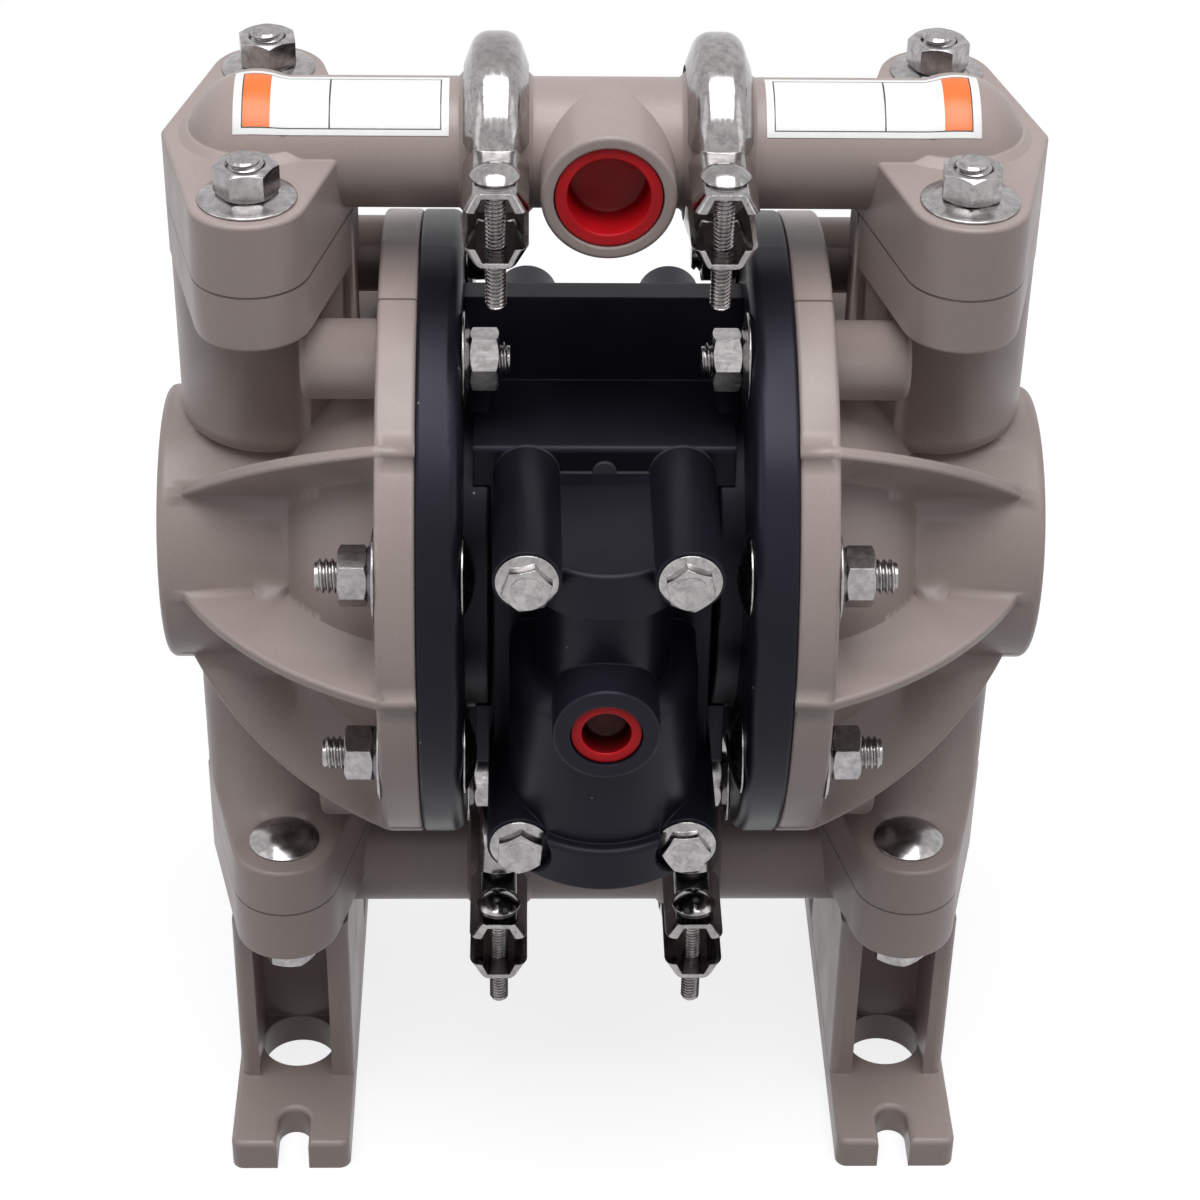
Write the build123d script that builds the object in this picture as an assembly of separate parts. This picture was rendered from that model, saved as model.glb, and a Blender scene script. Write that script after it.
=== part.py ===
from build123d import *

import math
import os

# Air operated double diaphragm pump, half-inch size, in plastic.
# X is the diaphragm axis, -Y is the front with the air port, +Z is up.
# The origin is on the floor, below the middle of the pump. All lengths are in millimetres.

# Diaphragm axis and overall width
AXIS_HEIGHT = 166.0
HALF_WIDTH = 105.5

# Clamped joint between a fluid cap and an air cap
JOINT_X = 43.0
FLANGE_R = 76.5
FLUID_FLANGE_T = 9.1
AIR_FLANGE_T = 10.2
FLANGE_EDGE_R = 1.0
AIR_RIM_R = 3.2
SEAT_CLEARANCE = 0.1

# Diaphragm
DIAPHRAGM_R = 60.5
DIAPHRAGM_T = 2.2
DIAPHRAGM_CLEARANCE = 0.3
DIAPHRAGM_FLAT_R = 29.0
DIAPHRAGM_FREE_R = 53.0
DIAPHRAGM_BULGE = 4.0

# Fluid cap
CHAMBER_MOUTH_R = 54.0
DOME_R = 56.0
DOME_MID_X = 65.0
DOME_MID_R = 46.5
DOME_WALL = 5.0
CAN_START_X = 74.7
CAN_R = 33.6
CAN_WALL = 5.0
CAN_EDGE_R = 2.0
RIB_T = 3.0
RIB_EDGE_R = 1.0
RIB_TIP_X = 99.5
RIB_MID_X = 80.0
RIB_MID_R = 58.6
RIB_ANGLES = (0, 45, 135, 180, 225, 315)

# Towers and the ear plates that carry the manifolds
TOWER_X = 79.0
TOWER_R = 21.5
TOWER_START = 30.5
TOWER_EDGE_R = 6.0
PORT_JOINT = 88.3
CAP_EAR_T = 13.6
ELBOW_EAR_T = 17.5
FOOT_EAR_T = 15.2
EAR_Y = 33.2
EAR_R = 13.4
EAR_CORNER_REACH = 22.0
EAR_CORNER_R = 4.0
EAR_EDGE_R = 1.0

# Check valves
BALL_R = 9.5
BALL_LIFT = 5.0
BALL_GUIDE_CLEARANCE = 0.4
BALL_SEAT_GAP = 0.15
VALVE_BORE_R = 12.5
CAGE_RIB_T = 2.4
CAGE_STOP_T = 3.0
CAGE_ROOT = 1.0
VALVE_SEAT_R = 15.9
VALVE_SEAT_H = 6.0
VALVE_SEAT_BORE_R = 6.2
VALVE_SEAT_CONE_R = 10.0
SEAT_RING_SECTION_R = 1.2
SEAT_RING_R = 14.5

# Manifold tubes, elbows and tees
MANIFOLD_OFFSET = 103.3
TUBE_R = 14.85
TUBE_BORE_R = 10.85
ELBOW_BALL_R = 16.2
ELBOW_COLLAR_R = 18.2
ELBOW_COLLAR_H = 1.6
CLAMP_X = 25.0
FACE_GAP = 0.1
FERRULE_R = 21.0
FERRULE_ROOT_R = 17.0
FERRULE_BACK = 8.4
TEE_CLEARANCE = 0.3
MANIFOLD_RING_R = 13.4
MANIFOLD_RING_SECTION_R = 1.2
TEE_BOSS_R = 15.1
TEE_BOSS_REACH = 28.0
TEE_BOSS_EDGE_R = 1.0
TEE_BRANCH_BORE_R = 9.85
PORT_R = 10.5
PORT_DEPTH = 17.0
PORT_COUNTERBORE_R = 12.3
PORT_COUNTERBORE_DEPTH = 2.4

# Port plugs
PLUG_WALL = 1.1
PLUG_CLEARANCE = 0.15
PLUG_RECESS = 0.8
PLUG_FLANGE_T = 1.5
PLUG_FLOOR = 1.5
PLUG_LENGTH = 13.0
AIR_PLUG_LENGTH = 9.0

# Split band clamps
CLAMP_R = 25.0
CLAMP_FLAT_HALF = 4.6
CLAMP_HALF_WIDTH = 7.35
CLAMP_FOOT_R = 17.6
CLAMP_T = 1.2
CLAMP_SPLIT_HALF = 7.6
EAR_PLATE_TOP = 9.0
EAR_PLATE_START_Y = 19.0
EAR_PLATE_END_Y = 43.5
EAR_PLATE_DROP = 4.6
CLAMP_BOLT_Y = 35.0
CLAMP_BOLT_R = 2.4
CLAMP_BOLT_HEAD_R = 5.6
CLAMP_BOLT_HEAD_H = 3.0
CLAMP_BOLT_END = 23.0
CLAMP_NUT_AF = 8.0
CLAMP_NUT_H = 2.6

# Feet
FOOT_X_IN = 64.0
FOOT_X_OUT = 95.0
FOOT_HALF_Y = 57.8
FOOT_BASE_T = 9.0
COLUMN_X_OUT = 94.0
COLUMN_HALF_Y = 32.7
COLUMN_EDGE_R = 2.5
FOOT_EDGE_R = 1.5
FOOT_CORNER_R = 3.0
CAVITY_HALF_X = 9.6
CAVITY_X = 79.4
CAVITY_WALL_Y = 9.0
DRAIN_R = 9.8
DRAIN_Y = 19.0
DRAIN_TOP = 13.0
SLOT_R = 4.15
SLOT_Y = 48.8

# Fasteners of the flanges and manifolds
BOLT_R = 4.0
BOLT_HOLE_CLEARANCE = 0.3
BOLT_CIRCLE_R = 66.0
NUT_SIDE_ANGLES = (22.5, 157.5, 202.5, 337.5)
BOSS_SIDE_ANGLES = (67.5, 112.5, 247.5, 292.5)
BOSS_R = 9.2
BOSS_END_X = 69.5
BOSS_EDGE_R = 2.0
STUD_END_X = 64.0
BOLT_HEAD_R = 9.6
BOLT_HEAD_H = 3.2
NUT_AF = 12.7
NUT_H = 6.8
NUT_CHAMFER = 0.8
WASHER_R = 11.0
WASHER_TOP_R = 7.0
FOOT_WASHER_R = 8.8
WASHER_EDGE_T = 0.8
WASHER_T = 1.7
FLANGE_BOLT_PROUD = 5.2
STUD_PROUD = 2.4
MANIFOLD_BOLT_PROUD = 1.4
MANIFOLD_HEAD_R = 8.8
MANIFOLD_HEAD_H = 3.6

# Air caps
AIR_HUB_R = 46.0
AIR_HUB_X = 26.5
DISH_FLOOR_X = 30.5
DISH_FLOOR_R = 38.0
HUB_CLEARANCE = 0.3
CAP_SCREW_CIRCLE_R = 33.0
CAP_SCREW_R = 2.9
CAP_SCREW_HEAD_R = 4.9
CAP_SCREW_HEAD_H = 2.2
CAP_SCREW_LENGTH = 16.0
CAP_SCREW_SOCKET_AF = 4.4
CAP_SCREW_ANGLES = (45, 135, 225, 315)
SCREW_CLEARANCE = 0.1
SCREW_TIP_ROOM = 1.0

# Centre body
WEB_HALF_Y = 3.5
WEB_HALF_Z = 65.0
BLOCK_HALF_X = 30.5
BLOCK_HALF_Y = 33.7
BLOCK_TOP = 42.5
BLOCK_BOTTOM = 50.0
BLOCK_EDGE_R = 1.5

# Connecting rod and its plates
ROD_R = 8.0
ROD_FIT = 0.03
ROD_BUSHING_R = 11.0
ROD_SEAL_T = 2.0
ROD_SEAL_R = 10.6
HUB_BORE_CLEARANCE = 0.5
AIR_WASHER_R = 27.0
AIR_WASHER_T = 4.0
FLUID_WASHER_R = 26.0
FLUID_WASHER_T = 4.5
FLUID_WASHER_EDGE_R = 2.0
AIR_WASHER_EDGE_R = 1.5
DIAPHRAGM_SCREW_R = 4.0
DIAPHRAGM_SCREW_HEAD_R = 8.0
DIAPHRAGM_SCREW_HEAD_H = 5.0
DIAPHRAGM_SCREW_REACH = 14.0
HEX_SOCKET_AF = 6.0
HEX_SOCKET_DEPTH = 3.0

# Pilot pin
PILOT_Y = -14.0
PILOT_Z = -14.0
PILOT_R = 3.0
PILOT_FIT = 0.03
PILOT_HALF_LENGTH = 33.8
PILOT_EDGE_R = 0.75
PILOT_BUSHING_R = 5.5
PILOT_BUSHING_LENGTH = 9.0

# Valve housing on the front
GASKET_T = 1.0
GASKET_TAB_R = 2.8
PLATE_T = 8.0
PLATE_CORNER_R = 4.0
PLATE_TOP = 36.0
UPPER_SCREW_X = 18.0
UPPER_SCREW_Z = 35.5
UPPER_SCREW_SEAT_Y = 78.0
LOWER_SCREW_X = 19.5
LOWER_SCREW_Z = -41.3
LOWER_SCREW_SEAT_Y = 75.5
SCREW_BOSS_R = 7.7
SCREW_R = 3.0
SCREW_DEPTH = 13.0
SCREW_FLANGE_R = 7.1
SCREW_FLANGE_T = 1.6
SCREW_HEX_AF = 10.0
SCREW_HEX_H = 4.2
BARREL_Y = 58.4
BARREL_R = 15.5
BARREL_CAP_R = 18.6
BARREL_CAP_H = 12.0
BARREL_SKIRT_R = 22.0
BARREL_SKIRT_TOP = 0.5
BARREL_SKIRT_EDGE_R = 5.0
BARREL_FOOT_R = 25.0
BARREL_FOOT_TOP = -37.0
BARREL_FOOT_BOTTOM = -48.3
BARREL_EDGE_R = 1.5
AIR_BOSS_Z = -2.0
AIR_BOSS_R = 12.25
AIR_BOSS_FACE_Y = 85.0
AIR_PORT_R = 6.85
AIR_PORT_COUNTERBORE_R = 8.3
AIR_PORT_COUNTERBORE_DEPTH = 2.0

# Spool valve
SLEEVE_R = 10.0
SLEEVE_CLEARANCE = 0.05
SLEEVE_TOP = 26.0
SPOOL_R = 6.0
SPOOL_NECK_R = 3.6
SPOOL_FIT = 0.03
SPOOL_LENGTH = 46.0
SPOOL_LAND = 6.0
SLEEVE_PORT_R = 2.5
SLEEVE_PORT_OFFSETS = (-14.0, 0.0, 14.0)
END_PLUG_T = 8.0
END_PLUG_RING_R = 1.1

# Exhaust housing on the rear
EXHAUST_BOSS_END_Y = 52.0
EXHAUST_HALF_X = 21.0
EXHAUST_TOP = 27.0
EXHAUST_BOTTOM = 33.0
EXHAUST_BACK_Y = 66.0
EXHAUST_EDGE_R = 5.0
EXHAUST_WALL = 4.5
EXHAUST_BOSS_R = 14.0
EXHAUST_FACE_Y = 85.0
EXHAUST_PORT_R = 8.57

# Places that follow from the sizes above
AIR_FACE_X = JOINT_X - AIR_FLANGE_T
FLUID_FACE_X = JOINT_X + FLUID_FLANGE_T
BALL_REST = BALL_R * math.sqrt(2) - VALVE_SEAT_CONE_R + BALL_SEAT_GAP
CAGE_TOP = BALL_REST + BALL_LIFT + BALL_R + CAGE_STOP_T
AIR_PLATE_X = JOINT_X - DIAPHRAGM_T / 2
FLUID_PLATE_X = JOINT_X + DIAPHRAGM_T / 2
HOUSING_BACK_Y = BLOCK_HALF_Y + GASKET_T
BOLT_HOLE_R = BOLT_R + BOLT_HOLE_CLEARANCE
CLAMP_SLOPE = (CLAMP_HALF_WIDTH - CLAMP_FLAT_HALF) / (CLAMP_R - CLAMP_FOOT_R)

UPWARD = Vector(0, 0, 1)
SIDES = (-1, 1)
BASE = (Align.CENTER, Align.CENTER, Align.MIN)


def at_axis(x, y, z):
    """Point given from the diaphragm axis."""
    return Vector(x, y, AXIS_HEIGHT + z)


def bar(radius, start, end):
    """Round bar between two points given from the diaphragm axis."""
    first = at_axis(*start)
    line = at_axis(*end) - first
    return Plane(origin=first, z_dir=line) * Cylinder(radius, line.length, align=BASE)


def block(x_range, y_range, z_range):
    """Rectangular block between pairs of coordinates given from the diaphragm axis."""
    spans = [high - low for low, high in (x_range, y_range, z_range)]
    middle = [(high + low) / 2 for low, high in (x_range, y_range, z_range)]
    return Pos(at_axis(*middle)) * Box(*spans)


def half_profile(origin, along, edges):
    """Plane in which the first coordinate runs along the turning axis and the second is the radius."""
    radial = Vector(1, 0, 0) if abs(along.Z) > 0 else UPWARD
    plane = Plane(origin=at_axis(*origin), x_dir=along, z_dir=along.cross(radial))
    return plane * make_face(edges)


def turned(origin, along, points):
    """Solid turned about a line; each point is (distance along it, radius, corner radius)."""
    corners = [point[:2] for point in points]
    outline = FilletPolyline(*corners, radius=[point[2] for point in points], close=True)
    axis = Axis(at_axis(*origin), along)
    return revolve(half_profile(origin, along, outline.edges()), axis)


def hex_prism(across_flats, height, origin, along):
    """Six-sided prism that stands on its origin."""
    plane = Plane(origin=at_axis(*origin), z_dir=along)
    return plane * extrude(RegularPolygon(across_flats / math.sqrt(3), 6), height)


def hexagon(across_flats, height, origin, along):
    """Six-sided prism with its end corners chamfered."""
    plane = Plane(origin=at_axis(*origin), z_dir=along)
    turned_blank = Cylinder(across_flats / math.sqrt(3), height, align=BASE)
    turned_blank = chamfer(turned_blank.edges().filter_by(GeomType.CIRCLE), NUT_CHAMFER)
    return hex_prism(across_flats, height, origin, along) & plane * turned_blank


def mirrored(shape):
    """The same piece on the left side of the pump."""
    return mirror(shape, about=Plane.YZ)


def save(name, *pieces):
    """Write the solids of one node."""
    solids = [solid for piece in pieces for solid in piece.solids()]
    export_step(Compound(solids), f"parts/{name}.step")


def save_pair(name, right_piece):
    """Write a right-hand node and its mirror image."""
    save(f"{name}_right", right_piece)
    save(f"{name}_left", mirrored(right_piece))


def on_circle(radius, angle):
    """Y and Z of a place on a circle about the diaphragm axis; 0 degrees is the front."""
    turn = math.radians(angle)
    return -radius * math.cos(turn), radius * math.sin(turn)


# Ear plates and check valves

def ear_outline():
    """Kite-shaped outline with a round ear at the front and at the rear."""
    corner_x = EAR_CORNER_REACH - EAR_CORNER_R
    circles = [Pos(0, side * EAR_Y) * Circle(EAR_R) for side in SIDES]
    circles += [Pos(side * corner_x, 0) * Circle(EAR_CORNER_R) for side in SIDES]
    return make_hull([circle.edge() for circle in circles])


def ear_plate(joint, free):
    """Plate from the joint between two pieces to its free face, whose edge is rounded."""
    plate = Pos(at_axis(TOWER_X, 0, min(joint, free))) * extrude(ear_outline(), abs(free - joint))
    free_end = -1 if free > joint else 0
    return fillet(plate.edges().group_by(Axis.Z)[free_end], EAR_EDGE_R)


def ear_holes(low, high):
    holes = []
    for side in SIDES:
        holes.append(bar(BOLT_HOLE_R, (TOWER_X, side * EAR_Y, low), (TOWER_X, side * EAR_Y, high)))
    return holes


def seat_pocket(joint):
    """Round pocket in the lower piece of a valve joint, open at the joint."""
    pocket_r = VALVE_SEAT_R + SEAT_CLEARANCE
    return bar(pocket_r, (TOWER_X, 0, joint - VALVE_SEAT_H), (TOWER_X, 0, joint))


def valve_cage(joint, turn):
    """Crossed ribs that guide the ball and stop its lift."""
    reach = VALVE_BORE_R + CAGE_ROOT
    centre = Pos(at_axis(TOWER_X, 0, joint)) * Rot(0, 0, turn)
    ribs = Box(2 * reach, CAGE_RIB_T, CAGE_TOP, align=BASE)
    ribs += Box(CAGE_RIB_T, 2 * reach, CAGE_TOP, align=BASE)
    ribs &= Cylinder(reach, CAGE_TOP, align=BASE)
    guide_r = BALL_R + BALL_GUIDE_CLEARANCE
    top = BALL_REST + BALL_LIFT
    return centre * ribs - round_ended(guide_r, (TOWER_X, 0, joint), UPWARD, top)


def valve_seat(joint):
    """Seat ring with a conical seat and a rebate for its ring seal."""
    rebate_r = SEAT_RING_R - SEAT_RING_SECTION_R
    rebate_h = 2 * SEAT_RING_SECTION_R
    cone_h = VALVE_SEAT_CONE_R - VALVE_SEAT_BORE_R
    points = (
        (-VALVE_SEAT_H, VALVE_SEAT_BORE_R, 0),
        (-VALVE_SEAT_H, VALVE_SEAT_R, 0),
        (-rebate_h, VALVE_SEAT_R, 0),
        (-rebate_h, rebate_r, 0),
        (0, rebate_r, 0),
        (0, VALVE_SEAT_CONE_R, 0),
        (-cone_h, VALVE_SEAT_BORE_R, 0),
    )
    return turned((TOWER_X, 0, joint), UPWARD, points)


def round_ended(radius, origin, along, straight):
    """Round bar from the origin that ends in a half ball after its straight length."""
    slant = radius * math.sqrt(0.5)
    edges = [
        Line((0, 0), (0, radius)),
        Line((0, radius), (straight, radius)),
        ThreePointArc((straight, radius), (straight + slant, slant), (straight + radius, 0)),
        Line((straight + radius, 0), (0, 0)),
    ]
    return revolve(half_profile(origin, along, edges), Axis(at_axis(*origin), along))


def ring_seal(origin, along, radius, section_r):
    plane = Plane(origin=at_axis(*origin), z_dir=along)
    return plane * Torus(radius, section_r)


def seat_ring(joint):
    """Ring seal in the rebate of a valve seat."""
    return ring_seal((TOWER_X, 0, joint - SEAT_RING_SECTION_R), UPWARD, SEAT_RING_R, SEAT_RING_SECTION_R)


def ball(joint):
    return Pos(at_axis(TOWER_X, 0, joint + BALL_REST)) * Sphere(BALL_R)


# Fluid caps

def dome(start_x, start_r, mid_x, mid_r, end_x, end_r):
    """Bulged ring from the flange to the end can, filled to the axis."""
    edges = [
        Line((start_x, 0), (start_x, start_r)),
        ThreePointArc((start_x, start_r), (mid_x, mid_r), (end_x, end_r)),
        Line((end_x, end_r), (end_x, 0)),
        Line((end_x, 0), (start_x, 0)),
    ]
    along = Vector(1, 0, 0)
    return revolve(half_profile((0, 0, 0), along, edges), Axis(at_axis(0, 0, 0), along))


def cap_rib(angle):
    """Thin fin from the can to the rim of the flange, with a bowed edge."""
    edges = [
        Line((JOINT_X, 0), (JOINT_X, FLANGE_R)),
        Line((JOINT_X, FLANGE_R), (FLUID_FACE_X, FLANGE_R)),
        ThreePointArc((FLUID_FACE_X, FLANGE_R), (RIB_MID_X, RIB_MID_R), (RIB_TIP_X, CAN_R)),
        Line((RIB_TIP_X, CAN_R), (RIB_TIP_X, 0)),
        Line((RIB_TIP_X, 0), (JOINT_X, 0)),
    ]
    plane = Plane(origin=(0, 0, 0), x_dir=(1, 0, 0), z_dir=(0, -1, 0))
    fin = extrude(plane * make_face(edges), RIB_T / 2, both=True)
    fin = fillet(fin.edges().filter_by(GeomType.CIRCLE), RIB_EDGE_R)
    return Pos(at_axis(0, 0, 0)) * Rot(angle - 90, 0, 0) * fin


def tower(side):
    """Upright round tower with a rounded foot; side is 1 above the axis and -1 below."""
    points = (
        (TOWER_START, 0, 0),
        (TOWER_START, TOWER_R, TOWER_EDGE_R),
        (PORT_JOINT, TOWER_R, 0),
        (PORT_JOINT, 0, 0),
    )
    return turned((TOWER_X, 0, 0), UPWARD * side, points)


def fluid_chamber():
    """Space that the diaphragm sweeps, with the bore of the end can."""
    inner_r = CAN_R - CAN_WALL
    hollow = dome(
        JOINT_X,
        CHAMBER_MOUTH_R,
        DOME_MID_X - DOME_WALL,
        DOME_MID_R - DOME_WALL / 2,
        CAN_START_X - DOME_WALL,
        inner_r,
    )
    hollow += bar(inner_r, (JOINT_X, 0, 0), (HALF_WIDTH - CAN_WALL, 0, 0))
    recess_r = DIAPHRAGM_R + DIAPHRAGM_CLEARANCE
    hollow += bar(recess_r, (JOINT_X - DIAPHRAGM_T, 0, 0), (FLUID_PLATE_X, 0, 0))
    return hollow


def flange_holes(angles, radius, start_x, end_x):
    """Drills for the fasteners of one flange, parallel to the diaphragm axis."""
    holes = []
    for angle in angles:
        y, z = on_circle(BOLT_CIRCLE_R, angle)
        holes.append(bar(radius, (start_x, y, z), (end_x, y, z)))
    return holes


def fluid_cap():
    """Right-hand fluid cap: flange, dome, end can, ribs, bolt bosses, towers and ears."""
    along = Vector(1, 0, 0)
    points = (
        (JOINT_X, 0, 0),
        (JOINT_X, FLANGE_R, FLANGE_EDGE_R),
        (FLUID_FACE_X, FLANGE_R, FLANGE_EDGE_R),
        (FLUID_FACE_X, 0, 0),
    )
    cap = turned((0, 0, 0), along, points)
    cap += dome(JOINT_X, DOME_R, DOME_MID_X, DOME_MID_R, CAN_START_X, CAN_R)
    can_points = (
        (JOINT_X, 0, 0),
        (JOINT_X, CAN_R, 0),
        (HALF_WIDTH, CAN_R, CAN_EDGE_R),
        (HALF_WIDTH, 0, 0),
    )
    cap += turned((0, 0, 0), along, can_points)
    cap += [cap_rib(angle) for angle in RIB_ANGLES]
    boss = (
        (JOINT_X, 0, 0),
        (JOINT_X, BOSS_R, 0),
        (BOSS_END_X, BOSS_R, BOSS_EDGE_R),
        (BOSS_END_X, 0, 0),
    )
    for angle in BOSS_SIDE_ANGLES:
        y, z = on_circle(BOLT_CIRCLE_R, angle)
        cap += turned((0, y, z), along, boss)
    cap += [tower(side) for side in SIDES]
    for side in SIDES:
        cap += ear_plate(side * PORT_JOINT, side * (PORT_JOINT - CAP_EAR_T))
    cap -= fluid_chamber()
    cap -= bar(VALVE_BORE_R, (TOWER_X, 0, -PORT_JOINT), (TOWER_X, 0, PORT_JOINT))
    cap -= seat_pocket(PORT_JOINT)
    cap -= flange_holes(NUT_SIDE_ANGLES, BOLT_HOLE_R, JOINT_X, FLUID_FACE_X)
    stud_hole_r = BOLT_R + SEAT_CLEARANCE
    cap -= flange_holes(BOSS_SIDE_ANGLES, stud_hole_r, JOINT_X, STUD_END_X + SCREW_TIP_ROOM)
    cap -= ear_holes(-PORT_JOINT, PORT_JOINT)
    cap += valve_cage(-PORT_JOINT, 0)
    return cap


# Air caps and centre body

def air_cap():
    """Right-hand air cap: a dished disc whose hub sits in the centre body."""
    along = Vector(1, 0, 0)
    points = (
        (JOINT_X, 0, 0),
        (JOINT_X, FLANGE_R, FLANGE_EDGE_R),
        (AIR_FACE_X, FLANGE_R, AIR_RIM_R),
        (AIR_FACE_X, AIR_HUB_R, 0),
        (AIR_HUB_X, AIR_HUB_R, FLANGE_EDGE_R),
        (AIR_HUB_X, 0, 0),
    )
    cap = turned((0, 0, 0), along, points)
    dish = (
        (JOINT_X, 0, 0),
        (JOINT_X, CHAMBER_MOUTH_R, 0),
        (DISH_FLOOR_X, DISH_FLOOR_R, AIR_RIM_R),
        (DISH_FLOOR_X, 0, 0),
    )
    cap -= turned((0, 0, 0), along, dish)
    recess_r = DIAPHRAGM_R + DIAPHRAGM_CLEARANCE
    cap -= bar(recess_r, (AIR_PLATE_X, 0, 0), (JOINT_X, 0, 0))
    cap -= bar(ROD_R + HUB_BORE_CLEARANCE, (0, 0, 0), (JOINT_X, 0, 0))
    bushing_r = PILOT_BUSHING_R + SEAT_CLEARANCE
    cap -= bar(bushing_r, (0, PILOT_Y, PILOT_Z), (JOINT_X, PILOT_Y, PILOT_Z))
    cap -= flange_holes(NUT_SIDE_ANGLES + BOSS_SIDE_ANGLES, BOLT_HOLE_R, AIR_FACE_X, JOINT_X)
    for angle in CAP_SCREW_ANGLES:
        y, z = on_circle(CAP_SCREW_CIRCLE_R, angle)
        head_r = CAP_SCREW_HEAD_R + SCREW_CLEARANCE
        cap -= bar(CAP_SCREW_R + SCREW_CLEARANCE, (AIR_HUB_X, y, z), (JOINT_X, y, z))
        cap -= bar(head_r, (DISH_FLOOR_X - CAP_SCREW_HEAD_H, y, z), (JOINT_X, y, z))
    return cap


def air_cap_screws():
    """Screws that hold both air caps to the centre body."""
    along = Vector(1, 0, 0)
    pieces = []
    for angle in CAP_SCREW_ANGLES:
        y, z = on_circle(CAP_SCREW_CIRCLE_R, angle)
        head_x = DISH_FLOOR_X - CAP_SCREW_HEAD_H
        screw = bar(CAP_SCREW_HEAD_R, (head_x, y, z), (DISH_FLOOR_X, y, z))
        screw += bar(CAP_SCREW_R, (head_x - CAP_SCREW_LENGTH, y, z), (DISH_FLOOR_X, y, z))
        screw -= hex_prism(CAP_SCREW_SOCKET_AF, CAP_SCREW_HEAD_H, (head_x, y, z), along)
        pieces += [screw, mirrored(screw)]
    return pieces


def screw_places(upper_y, lower_y):
    """X, Z and head seat of the four housing screws."""
    places = [(side * UPPER_SCREW_X, UPPER_SCREW_Z, upper_y) for side in SIDES]
    places += [(side * LOWER_SCREW_X, LOWER_SCREW_Z, lower_y) for side in SIDES]
    return places


def centre_body():
    """Web plate between the air caps with the air valve block in its middle."""
    web_x = AIR_FACE_X
    body = block((-web_x, web_x), (-WEB_HALF_Y, WEB_HALF_Y), (-WEB_HALF_Z, WEB_HALF_Z))
    middle = block(
        (-BLOCK_HALF_X, BLOCK_HALF_X),
        (-BLOCK_HALF_Y, BLOCK_HALF_Y),
        (-BLOCK_BOTTOM, BLOCK_TOP),
    )
    middle = fillet(middle.edges().filter_by(Axis.X), BLOCK_EDGE_R)
    body += middle
    pocket_r = AIR_HUB_R + HUB_CLEARANCE
    for side in SIDES:
        body -= bar(pocket_r, (side * AIR_HUB_X, 0, 0), (side * JOINT_X, 0, 0))
        seal_x = AIR_HUB_X - ROD_SEAL_T
        body -= bar(ROD_SEAL_R + SEAT_CLEARANCE, (side * seal_x, 0, 0), (side * AIR_HUB_X, 0, 0))
        bushing_start = (side * (DISH_FLOOR_X - PILOT_BUSHING_LENGTH), PILOT_Y, PILOT_Z)
        bushing_end = (side * AIR_HUB_X, PILOT_Y, PILOT_Z)
        body -= bar(PILOT_BUSHING_R + SEAT_CLEARANCE, bushing_start, bushing_end)
        for angle in CAP_SCREW_ANGLES:
            y, z = on_circle(CAP_SCREW_CIRCLE_R, angle)
            tip_x = DISH_FLOOR_X - CAP_SCREW_HEAD_H - CAP_SCREW_LENGTH - SCREW_TIP_ROOM
            body -= bar(CAP_SCREW_R + SCREW_CLEARANCE, (side * tip_x, y, z), (side * JOINT_X, y, z))
        for x, z, _ in screw_places(0, 0):
            deep_y = side * (BLOCK_HALF_Y - SCREW_DEPTH - SCREW_TIP_ROOM)
            body -= bar(SCREW_R + SCREW_CLEARANCE, (x, deep_y, z), (x, side * HOUSING_BACK_Y, z))
    body -= bar(ROD_BUSHING_R + SEAT_CLEARANCE, (-AIR_HUB_X, 0, 0), (AIR_HUB_X, 0, 0))
    hole_r = PILOT_R + SEAT_CLEARANCE
    body -= bar(hole_r, (-AIR_HUB_X, PILOT_Y, PILOT_Z), (AIR_HUB_X, PILOT_Y, PILOT_Z))
    return body


# Rod, diaphragms and pilot pin

def rod_bushing():
    half = AIR_HUB_X - ROD_SEAL_T
    sleeve = bar(ROD_BUSHING_R, (-half, 0, 0), (half, 0, 0))
    return sleeve - bar(ROD_R + ROD_FIT, (-half, 0, 0), (half, 0, 0))


def rod_seal(side):
    start = AIR_HUB_X - ROD_SEAL_T
    seal = bar(ROD_SEAL_R, (side * start, 0, 0), (side * AIR_HUB_X, 0, 0))
    return seal - bar(ROD_R + ROD_FIT, (side * start, 0, 0), (side * AIR_HUB_X, 0, 0))


def connecting_rod():
    """Plain round rod, drilled at both ends for the diaphragm screws."""
    rod = bar(ROD_R, (-AIR_PLATE_X, 0, 0), (AIR_PLATE_X, 0, 0))
    for side in SIDES:
        depth_x = AIR_PLATE_X - DIAPHRAGM_SCREW_REACH - SCREW_TIP_ROOM
        rod -= bar(DIAPHRAGM_SCREW_R + SCREW_CLEARANCE, (side * depth_x, 0, 0), (side * JOINT_X, 0, 0))
    return rod


def air_washer():
    along = Vector(1, 0, 0)
    inner_x = AIR_PLATE_X - AIR_WASHER_T
    points = (
        (inner_x, ROD_R + SEAT_CLEARANCE, 0),
        (inner_x, AIR_WASHER_R, AIR_WASHER_EDGE_R),
        (AIR_PLATE_X, AIR_WASHER_R, 0),
        (AIR_PLATE_X, ROD_R + SEAT_CLEARANCE, 0),
    )
    return turned((0, 0, 0), along, points)


def fluid_washer():
    along = Vector(1, 0, 0)
    outer_x = FLUID_PLATE_X + FLUID_WASHER_T
    hole_r = DIAPHRAGM_SCREW_R + SCREW_CLEARANCE
    points = (
        (FLUID_PLATE_X, hole_r, 0),
        (FLUID_PLATE_X, FLUID_WASHER_R, 0),
        (outer_x, FLUID_WASHER_R, FLUID_WASHER_EDGE_R),
        (outer_x, hole_r, 0),
    )
    return turned((0, 0, 0), along, points)


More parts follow.
